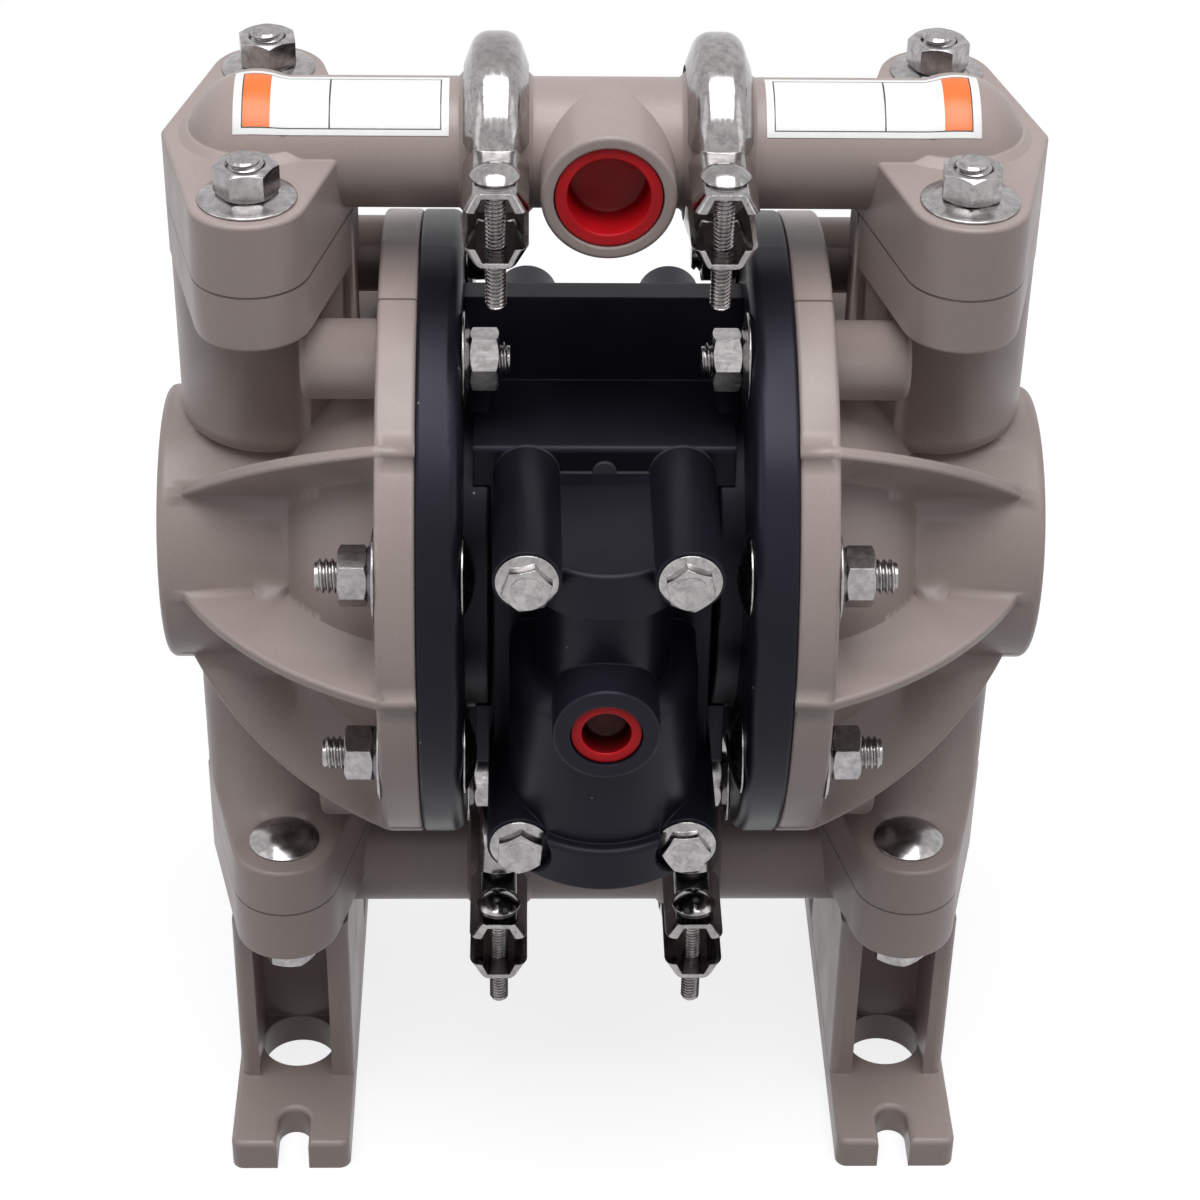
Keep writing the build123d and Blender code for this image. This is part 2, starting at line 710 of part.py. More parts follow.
def diaphragm_screw():
    along = Vector(1, 0, 0)
    seat_x = FLUID_PLATE_X + FLUID_WASHER_T
    end_x = seat_x + DIAPHRAGM_SCREW_HEAD_H
    points = (
        (AIR_PLATE_X - DIAPHRAGM_SCREW_REACH, 0, 0),
        (AIR_PLATE_X - DIAPHRAGM_SCREW_REACH, DIAPHRAGM_SCREW_R, 0),
        (seat_x, DIAPHRAGM_SCREW_R, 0),
        (seat_x, DIAPHRAGM_SCREW_HEAD_R, 0),
        (end_x, DIAPHRAGM_SCREW_HEAD_R, FLANGE_EDGE_R),
        (end_x, 0, 0),
    )
    screw = turned((0, 0, 0), along, points)
    return screw - hex_prism(HEX_SOCKET_AF, HEX_SOCKET_DEPTH, (end_x - HEX_SOCKET_DEPTH, 0, 0), along)


def diaphragm():
    """Disc with a raised roll between its clamped centre and its clamped rim."""
    along = Vector(1, 0, 0)
    roll_r = (DIAPHRAGM_FLAT_R + DIAPHRAGM_FREE_R) / 2
    hole_r = DIAPHRAGM_SCREW_R + SCREW_CLEARANCE
    crest_x = FLUID_PLATE_X + DIAPHRAGM_BULGE
    edges = [
        Line((AIR_PLATE_X, hole_r), (AIR_PLATE_X, DIAPHRAGM_FLAT_R)),
        ThreePointArc(
            (AIR_PLATE_X, DIAPHRAGM_FLAT_R),
            (crest_x - DIAPHRAGM_T, roll_r),
            (AIR_PLATE_X, DIAPHRAGM_FREE_R),
        ),
        Line((AIR_PLATE_X, DIAPHRAGM_FREE_R), (AIR_PLATE_X, DIAPHRAGM_R)),
        Line((AIR_PLATE_X, DIAPHRAGM_R), (FLUID_PLATE_X, DIAPHRAGM_R)),
        Line((FLUID_PLATE_X, DIAPHRAGM_R), (FLUID_PLATE_X, DIAPHRAGM_FREE_R)),
        ThreePointArc(
            (FLUID_PLATE_X, DIAPHRAGM_FREE_R),
            (crest_x, roll_r),
            (FLUID_PLATE_X, DIAPHRAGM_FLAT_R),
        ),
        Line((FLUID_PLATE_X, DIAPHRAGM_FLAT_R), (FLUID_PLATE_X, hole_r)),
        Line((FLUID_PLATE_X, hole_r), (AIR_PLATE_X, hole_r)),
    ]
    return revolve(half_profile((0, 0, 0), along, edges), Axis(at_axis(0, 0, 0), along))


def pilot_pin():
    half = PILOT_HALF_LENGTH
    points = (
        (-half, 0, 0),
        (-half, PILOT_R, PILOT_EDGE_R),
        (half, PILOT_R, PILOT_EDGE_R),
        (half, 0, 0),
    )
    return turned((0, PILOT_Y, PILOT_Z), Vector(1, 0, 0), points)


def pilot_bushing(side):
    start = side * (DISH_FLOOR_X - PILOT_BUSHING_LENGTH)
    end = side * DISH_FLOOR_X
    sleeve = bar(PILOT_BUSHING_R, (start, PILOT_Y, PILOT_Z), (end, PILOT_Y, PILOT_Z))
    return sleeve - bar(PILOT_R + PILOT_FIT, (start, PILOT_Y, PILOT_Z), (end, PILOT_Y, PILOT_Z))


# Valve housing on the front

def housing_plate(side):
    """Flat plate against the block; side is -1 for the front and 1 for the rear."""
    half_x = UPPER_SCREW_X + SCREW_BOSS_R
    low = LOWER_SCREW_Z - SCREW_BOSS_R
    near = side * HOUSING_BACK_Y
    far = side * (HOUSING_BACK_Y + PLATE_T)
    plate = block((-half_x, half_x), (min(near, far), max(near, far)), (low, PLATE_TOP))
    return fillet(plate.edges().filter_by(Axis.Y), PLATE_CORNER_R)


def gasket(side):
    """Thin sheet between the block and a housing, with a finger tab at its top."""
    half_x = UPPER_SCREW_X + SCREW_BOSS_R
    low = LOWER_SCREW_Z - SCREW_BOSS_R
    near = side * BLOCK_HALF_Y
    far = side * HOUSING_BACK_Y
    sheet = block((-half_x, half_x), (min(near, far), max(near, far)), (low, PLATE_TOP))
    sheet = fillet(sheet.edges().filter_by(Axis.Y), PLATE_CORNER_R)
    sheet += bar(GASKET_TAB_R, (0, near, PLATE_TOP), (0, far, PLATE_TOP))
    for x, z, _ in screw_places(0, 0):
        sheet += bar(SCREW_BOSS_R, (x, near, z), (x, far, z))
        sheet -= bar(SCREW_R + SCREW_CLEARANCE, (x, near, z), (x, far, z))
    return sheet


def d_column(radius, low, high, edge_r=0):
    """Upright round column about the spool axis, joined back to the housing plate."""
    points = [(low, 0, 0), (low, radius, 0), (high, radius, edge_r), (high, 0, 0)]
    column = turned((0, -BARREL_Y, 0), UPWARD, points)
    back = block((-radius, radius), (-BARREL_Y, -HOUSING_BACK_Y), (low, high))
    if edge_r:
        back = fillet(back.edges().filter_by(Axis.Y).group_by(Axis.Z)[-1], edge_r)
    return column + back


def housing_screw_holes(housing, side, upper_y, lower_y):
    for x, z, seat_y in screw_places(upper_y, lower_y):
        hole_r = SCREW_R + BOLT_HOLE_CLEARANCE
        housing -= bar(hole_r, (x, side * HOUSING_BACK_Y, z), (x, side * seat_y, z))
    return housing


def valve_housing():
    """Front housing: upright spool barrel, four long screw bosses and the air port boss."""
    housing = housing_plate(-1)
    for x, z, seat_y in screw_places(UPPER_SCREW_SEAT_Y, LOWER_SCREW_SEAT_Y):
        housing += bar(SCREW_BOSS_R, (x, -HOUSING_BACK_Y, z), (x, -seat_y, z))
    cap_low = PLATE_TOP - BARREL_CAP_H
    housing += d_column(BARREL_CAP_R, cap_low, PLATE_TOP, BARREL_EDGE_R)
    housing += d_column(BARREL_R, BARREL_FOOT_BOTTOM, cap_low)
    housing += d_column(BARREL_SKIRT_R, BARREL_FOOT_TOP, BARREL_SKIRT_TOP, BARREL_SKIRT_EDGE_R)
    housing += d_column(BARREL_FOOT_R, BARREL_FOOT_BOTTOM, BARREL_FOOT_TOP, BARREL_EDGE_R)
    boss = (
        (BARREL_Y, 0, 0),
        (BARREL_Y, AIR_BOSS_R, 0),
        (AIR_BOSS_FACE_Y, AIR_BOSS_R, FLANGE_EDGE_R),
        (AIR_BOSS_FACE_Y, 0, 0),
    )
    housing += turned((0, 0, AIR_BOSS_Z), Vector(0, -1, 0), boss)
    housing -= block(
        (-BARREL_FOOT_R, BARREL_FOOT_R),
        (-HOUSING_BACK_Y, 0),
        (BARREL_FOOT_BOTTOM, PLATE_TOP),
    )
    for x, z, seat_y in screw_places(UPPER_SCREW_SEAT_Y, LOWER_SCREW_SEAT_Y):
        spot_r = SCREW_FLANGE_R + BOLT_HOLE_CLEARANCE
        housing -= bar(spot_r, (x, -seat_y, z), (x, -AIR_BOSS_FACE_Y, z))
    bore_r = SLEEVE_R + SLEEVE_CLEARANCE
    housing -= bar(bore_r, (0, -BARREL_Y, BARREL_FOOT_BOTTOM), (0, -BARREL_Y, SLEEVE_TOP))
    port_end = (0, -AIR_BOSS_FACE_Y, AIR_BOSS_Z)
    housing -= bar(AIR_PORT_R, (0, -BARREL_Y, AIR_BOSS_Z), port_end)
    counterbore_y = AIR_PORT_COUNTERBORE_DEPTH - AIR_BOSS_FACE_Y
    housing -= bar(AIR_PORT_COUNTERBORE_R, (0, counterbore_y, AIR_BOSS_Z), port_end)
    return housing_screw_holes(housing, -1, UPPER_SCREW_SEAT_Y, LOWER_SCREW_SEAT_Y)


def exhaust_housing():
    """Rear housing: hollow box with short screw bosses and the exhaust port."""
    housing = housing_plate(1)
    for x, z, seat_y in screw_places(EXHAUST_BOSS_END_Y, EXHAUST_BOSS_END_Y):
        housing += bar(SCREW_BOSS_R, (x, HOUSING_BACK_Y, z), (x, seat_y, z))
    shell = block(
        (-EXHAUST_HALF_X, EXHAUST_HALF_X),
        (HOUSING_BACK_Y, EXHAUST_BACK_Y),
        (-EXHAUST_BOTTOM, EXHAUST_TOP),
    )
    shell = fillet(shell.faces().sort_by(Axis.Y)[-1].edges(), EXHAUST_EDGE_R)
    housing += shell
    boss = (
        (HOUSING_BACK_Y, 0, 0),
        (HOUSING_BACK_Y, EXHAUST_BOSS_R, 0),
        (EXHAUST_FACE_Y, EXHAUST_BOSS_R, FLANGE_EDGE_R),
        (EXHAUST_FACE_Y, 0, 0),
    )
    housing += turned((0, 0, AIR_BOSS_Z), Vector(0, 1, 0), boss)
    inner_x = EXHAUST_HALF_X - EXHAUST_WALL
    housing -= block(
        (-inner_x, inner_x),
        (HOUSING_BACK_Y, EXHAUST_BACK_Y - EXHAUST_WALL),
        (EXHAUST_WALL - EXHAUST_BOTTOM, EXHAUST_TOP - EXHAUST_WALL),
    )
    port_start = (0, HOUSING_BACK_Y, AIR_BOSS_Z)
    housing -= bar(EXHAUST_PORT_R, port_start, (0, EXHAUST_FACE_Y, AIR_BOSS_Z))
    return housing_screw_holes(housing, 1, EXHAUST_BOSS_END_Y, EXHAUST_BOSS_END_Y)


def flange_screw(x, z, seat_y, side):
    """Hexagon screw with a round flange under its head, pointing at the block."""
    outward = Vector(0, side, 0)
    tip_y = BLOCK_HALF_Y - SCREW_DEPTH
    flange_y = seat_y + SCREW_FLANGE_T
    screw = bar(SCREW_R, (x, side * tip_y, z), (x, side * flange_y, z))
    flange = (
        (seat_y, 0, 0),
        (seat_y, SCREW_FLANGE_R, 0),
        (seat_y + SCREW_FLANGE_T / 2, SCREW_FLANGE_R, 0),
        (flange_y, SCREW_HEX_AF / 2, 0),
        (flange_y, 0, 0),
    )
    screw += turned((x, 0, z), outward, flange)
    return screw + hexagon(SCREW_HEX_AF, SCREW_HEX_H, (x, side * seat_y, z), outward)


def housing_screws(side, upper_y, lower_y):
    return [flange_screw(x, z, seat_y, side) for x, z, seat_y in screw_places(upper_y, lower_y)]


# Spool valve

def sleeve_bottom():
    return BARREL_FOOT_BOTTOM + END_PLUG_T


def spool_middle():
    return (sleeve_bottom() + SLEEVE_TOP) / 2


def spool_sleeve():
    """Ported sleeve in which the spool runs."""
    low = (0, -BARREL_Y, sleeve_bottom())
    high = (0, -BARREL_Y, SLEEVE_TOP)
    sleeve = bar(SLEEVE_R, low, high) - bar(SPOOL_R + SPOOL_FIT, low, high)
    for offset in SLEEVE_PORT_OFFSETS:
        z = spool_middle() + offset
        sleeve -= bar(SLEEVE_PORT_R, (0, -BARREL_Y - SLEEVE_R, z), (0, -BARREL_Y + SLEEVE_R, z))
    return sleeve


def spool():
    """Spool with a land at each end and one in the middle."""
    half = SPOOL_LENGTH / 2
    land = SPOOL_LAND / 2
    points = (
        (-half, 0, 0),
        (-half, SPOOL_R, 0),
        (SPOOL_LAND - half, SPOOL_R, 0),
        (SPOOL_LAND - half, SPOOL_NECK_R, 0),
        (-land, SPOOL_NECK_R, 0),
        (-land, SPOOL_R, 0),
        (land, SPOOL_R, 0),
        (land, SPOOL_NECK_R, 0),
        (half - SPOOL_LAND, SPOOL_NECK_R, 0),
        (half - SPOOL_LAND, SPOOL_R, 0),
        (half, SPOOL_R, 0),
        (half, 0, 0),
    )
    return turned((0, -BARREL_Y, spool_middle()), UPWARD, points)


def spool_end_plug():
    """Plug that closes the lower end of the spool bore, with a groove for its ring seal."""
    low = BARREL_FOOT_BOTTOM
    groove_z = low + END_PLUG_T / 2
    plug = bar(SLEEVE_R, (0, -BARREL_Y, low), (0, -BARREL_Y, low + END_PLUG_T))
    ring_r = SLEEVE_R - END_PLUG_RING_R
    return plug - ring_seal((0, -BARREL_Y, groove_z), UPWARD, ring_r, END_PLUG_RING_R + SLEEVE_CLEARANCE)


def spool_plug_ring():
    groove_z = BARREL_FOOT_BOTTOM + END_PLUG_T / 2
    return ring_seal((0, -BARREL_Y, groove_z), UPWARD, SLEEVE_R - END_PLUG_RING_R, END_PLUG_RING_R)


# Manifolds

def clamp_inner_half(radius):
    """Half width of the space inside a clamp band at a given radius."""
    inner_half = CLAMP_FLAT_HALF - CLAMP_T / 2
    return inner_half + CLAMP_SLOPE * (CLAMP_R - CLAMP_T - radius)


def ferrule(side, height, clearance):
    """Conical rim at a tube end, from its face towards side, for a band clamp."""
    rim_half = clamp_inner_half(FERRULE_R) - clearance
    root_half = clamp_inner_half(FERRULE_ROOT_R) - clearance
    points = (
        (FACE_GAP, 0, 0),
        (FACE_GAP, FERRULE_R, 0),
        (rim_half, FERRULE_R, 0),
        (root_half, FERRULE_ROOT_R, 0),
        (FERRULE_BACK, TUBE_R, 0),
        (FERRULE_BACK, 0, 0),
    )
    return turned((CLAMP_X, 0, height), Vector(side, 0, 0), points)


def ring_groove(height):
    """Groove for a manifold ring seal in the end face of an elbow."""
    depth = 2 * MANIFOLD_RING_SECTION_R + FACE_GAP
    half = MANIFOLD_RING_SECTION_R + SEAT_CLEARANCE
    points = (
        (0, MANIFOLD_RING_R - half, 0),
        (0, MANIFOLD_RING_R + half, 0),
        (depth, MANIFOLD_RING_R + half, 0),
        (depth, MANIFOLD_RING_R - half, 0),
    )
    return turned((CLAMP_X, 0, height), Vector(1, 0, 0), points)


def manifold_ring(height):
    middle_x = CLAMP_X + FACE_GAP + MANIFOLD_RING_SECTION_R
    along = Vector(1, 0, 0)
    return ring_seal((middle_x, 0, height), along, MANIFOLD_RING_R, MANIFOLD_RING_SECTION_R)


def outlet_elbow():
    """Right-hand outlet elbow: ears on the cap, rounded corner and a tube to the clamp."""
    top = PORT_JOINT + ELBOW_EAR_T
    height = MANIFOLD_OFFSET
    centre = at_axis(TOWER_X, 0, height)
    elbow = ear_plate(PORT_JOINT, top)
    elbow += Pos(centre) * Sphere(ELBOW_BALL_R)
    collar = (
        (PORT_JOINT, 0, 0),
        (PORT_JOINT, ELBOW_COLLAR_R, 0),
        (top, ELBOW_COLLAR_R, 0),
        (top + ELBOW_COLLAR_H, ELBOW_BALL_R, 0),
        (top + ELBOW_COLLAR_H, 0, 0),
    )
    elbow += turned((TOWER_X, 0, 0), UPWARD, collar)
    elbow += bar(TUBE_R, (CLAMP_X + FERRULE_BACK, 0, height), (TOWER_X, 0, height))
    elbow += ferrule(1, height, FACE_GAP)
    bore_start = min(PORT_JOINT, height - ELBOW_BALL_R)
    elbow -= round_ended(VALVE_BORE_R, (TOWER_X, 0, bore_start), UPWARD, height - bore_start)
    elbow -= bar(TUBE_BORE_R, (CLAMP_X, 0, height), (TOWER_X, 0, height))
    elbow -= ring_groove(height)
    elbow -= ear_holes(PORT_JOINT, top + ELBOW_BALL_R)
    return elbow + valve_cage(PORT_JOINT, 45)


def foot_outline():
    """Plan of the foot base with an open slot at each end."""
    middle_x = (FOOT_X_IN + FOOT_X_OUT) / 2
    plan = Pos(middle_x, 0) * Rectangle(FOOT_X_OUT - FOOT_X_IN, 2 * FOOT_HALF_Y)
    plan = fillet(plan.vertices(), FOOT_CORNER_R)
    for side in SIDES:
        slot_length = FOOT_HALF_Y - SLOT_Y + SLOT_R
        slot_middle = side * (SLOT_Y + slot_length / 2)
        plan -= Pos(TOWER_X, side * SLOT_Y) * Circle(SLOT_R)
        plan -= Pos(TOWER_X, slot_middle) * Rectangle(2 * SLOT_R, slot_length)
    return plan


def foot_column():
    """Post between the base and the ears, with a pocket at its front and at its rear."""
    top = -PORT_JOINT - FOOT_EAR_T
    middle_x = (FOOT_X_IN + COLUMN_X_OUT) / 2
    width_x = COLUMN_X_OUT - FOOT_X_IN
    plan = Pos(middle_x, 0) * Rectangle(width_x, 2 * COLUMN_HALF_Y)
    plan = fillet(plan.vertices(), COLUMN_EDGE_R)
    height = AXIS_HEIGHT + top - FOOT_BASE_T
    post = Pos(0, 0, FOOT_BASE_T) * extrude(plan, height)
    x_range = (CAVITY_X - CAVITY_HALF_X, CAVITY_X + CAVITY_HALF_X)
    base_z = FOOT_BASE_T - AXIS_HEIGHT
    post -= block(x_range, (-COLUMN_HALF_Y, -CAVITY_WALL_Y), (base_z, top))
    post -= block(x_range, (CAVITY_WALL_Y, COLUMN_HALF_Y), (base_z, top))
    return post


def foot_elbow():
    """Right-hand inlet elbow with the foot that the pump stands on."""
    height = -MANIFOLD_OFFSET
    base = extrude(foot_outline(), FOOT_BASE_T)
    base = fillet(base.faces().sort_by(Axis.Z)[-1].edges(), FOOT_EDGE_R)
    elbow = base + foot_column()
    for side in SIDES:
        elbow -= Pos(CAVITY_X, side * DRAIN_Y, 0) * Cylinder(DRAIN_R, DRAIN_TOP, align=BASE)
    elbow += ear_plate(-PORT_JOINT, -PORT_JOINT - FOOT_EAR_T)
    elbow += Pos(at_axis(TOWER_X, 0, height)) * Sphere(TUBE_R)
    elbow += bar(TUBE_R, (CLAMP_X + FERRULE_BACK, 0, height), (TOWER_X, 0, height))
    elbow += ferrule(1, height, FACE_GAP)
    elbow -= seat_pocket(-PORT_JOINT)
    elbow -= round_ended(TUBE_BORE_R, (TOWER_X, 0, -PORT_JOINT), -UPWARD, -PORT_JOINT - height)
    elbow -= bar(TUBE_BORE_R, (CLAMP_X, 0, height), (TOWER_X, 0, height))
    elbow -= ring_groove(height)
    return elbow - ear_holes(-PORT_JOINT - FOOT_EAR_T, -PORT_JOINT)


def tee(height, facing):
    """Tee between two clamps; facing is -1 for a port at the front and 1 for one at the rear."""
    half = CLAMP_X - FERRULE_BACK
    body = bar(TUBE_R, (-half, 0, height), (half, 0, height))
    clamp_plane = Plane(origin=(CLAMP_X, 0, 0), z_dir=(1, 0, 0))
    right_rim = mirror(ferrule(1, height, TEE_CLEARANCE), about=clamp_plane)
    body += [right_rim, mirrored(right_rim)]
    boss = (
        (0, 0, 0),
        (0, TEE_BOSS_R, 0),
        (TEE_BOSS_REACH, TEE_BOSS_R, TEE_BOSS_EDGE_R),
        (TEE_BOSS_REACH, 0, 0),
    )
    body += turned((0, 0, height), Vector(0, facing, 0), boss)
    body -= bar(TUBE_BORE_R, (-CLAMP_X, 0, height), (CLAMP_X, 0, height))
    face_y = facing * TEE_BOSS_REACH
    body -= bar(PORT_R, (0, face_y - facing * PORT_DEPTH, height), (0, face_y, height))
    body -= bar(TEE_BRANCH_BORE_R, (0, 0, height), (0, face_y, height))
    step_y = face_y - facing * PORT_COUNTERBORE_DEPTH
    return body - bar(PORT_COUNTERBORE_R, (0, step_y, height), (0, face_y, height))


def port_plug(origin, outward, hole_r, counterbore_r, counterbore_depth, length):
    """Soft cup pressed into a port, with a thin rim in the counterbore."""
    body_r = hole_r - PLUG_CLEARANCE
    rim_top = -PLUG_RECESS
    rim_low = -counterbore_depth
    cup_r = body_r - PLUG_WALL
    points = (
        (-length, 0, 0),
        (-length, body_r, 0),
        (rim_low, body_r, 0),
        (rim_low, counterbore_r - PLUG_CLEARANCE, 0),
        (rim_top, counterbore_r - PLUG_CLEARANCE, 0),
        (rim_top, cup_r, 0),
        (PLUG_FLOOR - length, cup_r, 0),
        (PLUG_FLOOR - length, 0, 0),
    )
    return turned(origin, outward, points)


# Band clamps

def clamp_band(x, height):
    """Split band of V section with two channel-shaped ears at the front."""
    along = Vector(1, 0, 0)
    foot_inner = CLAMP_HALF_WIDTH - CLAMP_T / 2
    flat_inner = CLAMP_FLAT_HALF - CLAMP_T / 2
    inner_r = CLAMP_R - CLAMP_T
    points = (
        (-CLAMP_HALF_WIDTH, CLAMP_FOOT_R, 0),
        (-CLAMP_FLAT_HALF, CLAMP_R, CLAMP_T),
        (CLAMP_FLAT_HALF, CLAMP_R, CLAMP_T),
        (CLAMP_HALF_WIDTH, CLAMP_FOOT_R, 0),
        (foot_inner, CLAMP_FOOT_R, 0),
        (flat_inner, inner_r, 0),
        (-flat_inner, inner_r, 0),
        (-foot_inner, CLAMP_FOOT_R, 0),
    )
    band = turned((x, 0, height), along, points)
    split = CLAMP_SPLIT_HALF
    band -= block(
        (x - CLAMP_HALF_WIDTH, x + CLAMP_HALF_WIDTH),
        (-2 * CLAMP_R, 0),
        (height - split, height + split),
    )
    return band + [clamp_ear(x, height, side) for side in SIDES]


def clamp_ear(x, height, side):
    """Channel that reaches forward from the band; side is 1 for the upper ear."""
    low = EAR_PLATE_TOP - EAR_PLATE_DROP
    outline = Polyline(
        (-CLAMP_HALF_WIDTH, low),
        (-CLAMP_FLAT_HALF, EAR_PLATE_TOP),
        (CLAMP_FLAT_HALF, EAR_PLATE_TOP),
        (CLAMP_HALF_WIDTH, low),
        (CLAMP_HALF_WIDTH - CLAMP_T, low),
        (CLAMP_FLAT_HALF - CLAMP_T / 2, EAR_PLATE_TOP - CLAMP_T),
        (CLAMP_T / 2 - CLAMP_FLAT_HALF, EAR_PLATE_TOP - CLAMP_T),
        (CLAMP_T - CLAMP_HALF_WIDTH, low),
        close=True,
    )
    plane = Plane(origin=(0, -EAR_PLATE_START_Y, 0), x_dir=(1, 0, 0), z_dir=(0, -1, 0))
    ear = extrude(plane * make_face(outline.edges()), EAR_PLATE_END_Y - EAR_PLATE_START_Y)
    hole_r = CLAMP_BOLT_R + SEAT_CLEARANCE
    ear -= Pos(0, -CLAMP_BOLT_Y, 0) * Cylinder(hole_r, 2 * CLAMP_R)
    ear -= Rot(0, 90, 0) * Cylinder(FERRULE_R + TEE_CLEARANCE, 4 * CLAMP_HALF_WIDTH)
    if side < 0:
        ear = mirror(ear, about=Plane.XY)
    return Pos(at_axis(x, 0, height)) * ear


def dome_head(origin, along, radius, height):
    """Low round head, part of a ball, whose underside is at the origin."""
    ball_r = (radius**2 + height**2) / (2 * height)
    half_angle = math.asin(radius / ball_r) / 2
    middle = (height - ball_r + ball_r * math.cos(half_angle), ball_r * math.sin(half_angle))
    edges = [
        Line((0, 0), (0, radius)),
        ThreePointArc((0, radius), middle, (height, 0)),
        Line((height, 0), (0, 0)),
    ]
    return revolve(half_profile(origin, along, edges), Axis(at_axis(*origin), along))


def clamp_bolt(x, height):
    head_z = height + EAR_PLATE_TOP
    bolt = dome_head((x, -CLAMP_BOLT_Y, head_z), UPWARD, CLAMP_BOLT_HEAD_R, CLAMP_BOLT_HEAD_H)
    tip_z = height - CLAMP_BOLT_END
    return bolt + bar(CLAMP_BOLT_R, (x, -CLAMP_BOLT_Y, tip_z), (x, -CLAMP_BOLT_Y, head_z))


def clamp_nut(x, height):
    top = height - EAR_PLATE_TOP
    nut = hexagon(CLAMP_NUT_AF, CLAMP_NUT_H, (x, -CLAMP_BOLT_Y, top), -UPWARD)
    nut_end = (x, -CLAMP_BOLT_Y, top - CLAMP_NUT_H)
    return nut - bar(CLAMP_BOLT_R + SEAT_CLEARANCE, nut_end, (x, -CLAMP_BOLT_Y, top))


# Bolts, nuts and washers

def nut(origin, along):
    """Nut whose underside is at the origin."""
    solid = hexagon(NUT_AF, NUT_H, origin, along)
    plane = Plane(origin=at_axis(*origin), z_dir=along)
    return solid - plane * Cylinder(BOLT_R + SEAT_CLEARANCE, NUT_H, align=BASE)


def washer(origin, along, radius=WASHER_R):
    """Cone washer whose flat side is at the origin."""
    hole_r = BOLT_R + SEAT_CLEARANCE
    points = (
        (0, hole_r, 0),
        (0, radius, 0),
        (WASHER_EDGE_T, radius, 0),
        (WASHER_T, WASHER_TOP_R, 0),
        (WASHER_T, hole_r, 0),
    )
    return turned(origin, along, points)


def nut_side_bolts():
    """Bolts with their heads against the air cap and their nuts on the fluid cap."""
    bolts, nuts, washers = [], [], []
    for angle in NUT_SIDE_ANGLES:
        y, z = on_circle(BOLT_CIRCLE_R, angle)
        for side in SIDES:
            outward = Vector(side, 0, 0)
            tip_x = FLUID_FACE_X + WASHER_T + NUT_H + FLANGE_BOLT_PROUD
            bolt = bar(BOLT_R, (side * AIR_FACE_X, y, z), (side * tip_x, y, z))
            head_x = side * AIR_FACE_X
            bolt += dome_head((head_x, y, z), -outward, BOLT_HEAD_R, BOLT_HEAD_H)
            bolts.append(bolt)
            washers.append(washer((side * FLUID_FACE_X, y, z), outward))
            nuts.append(nut((side * (FLUID_FACE_X + WASHER_T), y, z), outward))
    return bolts, nuts, washers


def boss_side_studs():
    """Studs held in the blind bosses of the fluid cap, with their nuts against the air cap."""
    studs, nuts, washers = [], [], []
    for angle in BOSS_SIDE_ANGLES:
        y, z = on_circle(BOLT_CIRCLE_R, angle)
        for side in SIDES:
            inward = Vector(-side, 0, 0)
            tip_x = AIR_FACE_X - WASHER_T - NUT_H - STUD_PROUD
            studs.append(bar(BOLT_R, (side * tip_x, y, z), (side * STUD_END_X, y, z)))
            washers.append(washer((side * AIR_FACE_X, y, z), inward))
            nuts.append(nut((side * (AIR_FACE_X - WASHER_T), y, z), inward))
    return studs, nuts, washers


def manifold_bolts():
    """Bolts of the four ear plates; their heads are on the fluid caps."""
    bolts, nuts, washers = [], [], []
    for upward, ear_t, washer_r in ((1, ELBOW_EAR_T, WASHER_R), (-1, FOOT_EAR_T, FOOT_WASHER_R)):
        along = Vector(0, 0, upward)
        head_z = upward * (PORT_JOINT - CAP_EAR_T)
        seat_z = upward * (PORT_JOINT + ear_t)
        nut_z = seat_z + upward * WASHER_T
        tip_z = nut_z + upward * (NUT_H + MANIFOLD_BOLT_PROUD)
        for x in (-TOWER_X, TOWER_X):
            for y in (-EAR_Y, EAR_Y):
                bolt = bar(BOLT_R, (x, y, head_z), (x, y, tip_z))
                bolt += dome_head((x, y, head_z), -along, MANIFOLD_HEAD_R, MANIFOLD_HEAD_H)
                bolts.append(bolt)
                washers.append(washer((x, y, seat_z), along, washer_r))
                nuts.append(nut((x, y, nut_z), along))
    return bolts, nuts, washers


def save_air_section():
    save("centre_body", centre_body())
    save_pair("air_cap", air_cap())
    save("air_cap_screws", *air_cap_screws())
    save("front_gasket", gasket(-1))
    save("rear_gasket", gasket(1))
    save("valve_housing", valve_housing())
    save("valve_housing_screws", *housing_screws(-1, UPPER_SCREW_SEAT_Y, LOWER_SCREW_SEAT_Y))
    save("exhaust_housing", exhaust_housing())
    save("exhaust_housing_screws", *housing_screws(1, EXHAUST_BOSS_END_Y, EXHAUST_BOSS_END_Y))
    save("spool_sleeve", spool_sleeve())
    save("spool", spool())
    save("spool_end_plug", spool_end_plug())
    save("spool_plug_ring", spool_plug_ring())


def save_rod_section():
    save("rod_bushing", rod_bushing())
    save("rod_seals", *[rod_seal(side) for side in SIDES])
    save("connecting_rod", connecting_rod())
    save_pair("air_washer", air_washer())
    save_pair("fluid_washer", fluid_washer())
    screw = diaphragm_screw()
    save("diaphragm_screws", screw, mirrored(screw))
    save_pair("diaphragm", diaphragm())
    save("pilot_pin", pilot_pin())
    save("pilot_bushings", *[pilot_bushing(side) for side in SIDES])


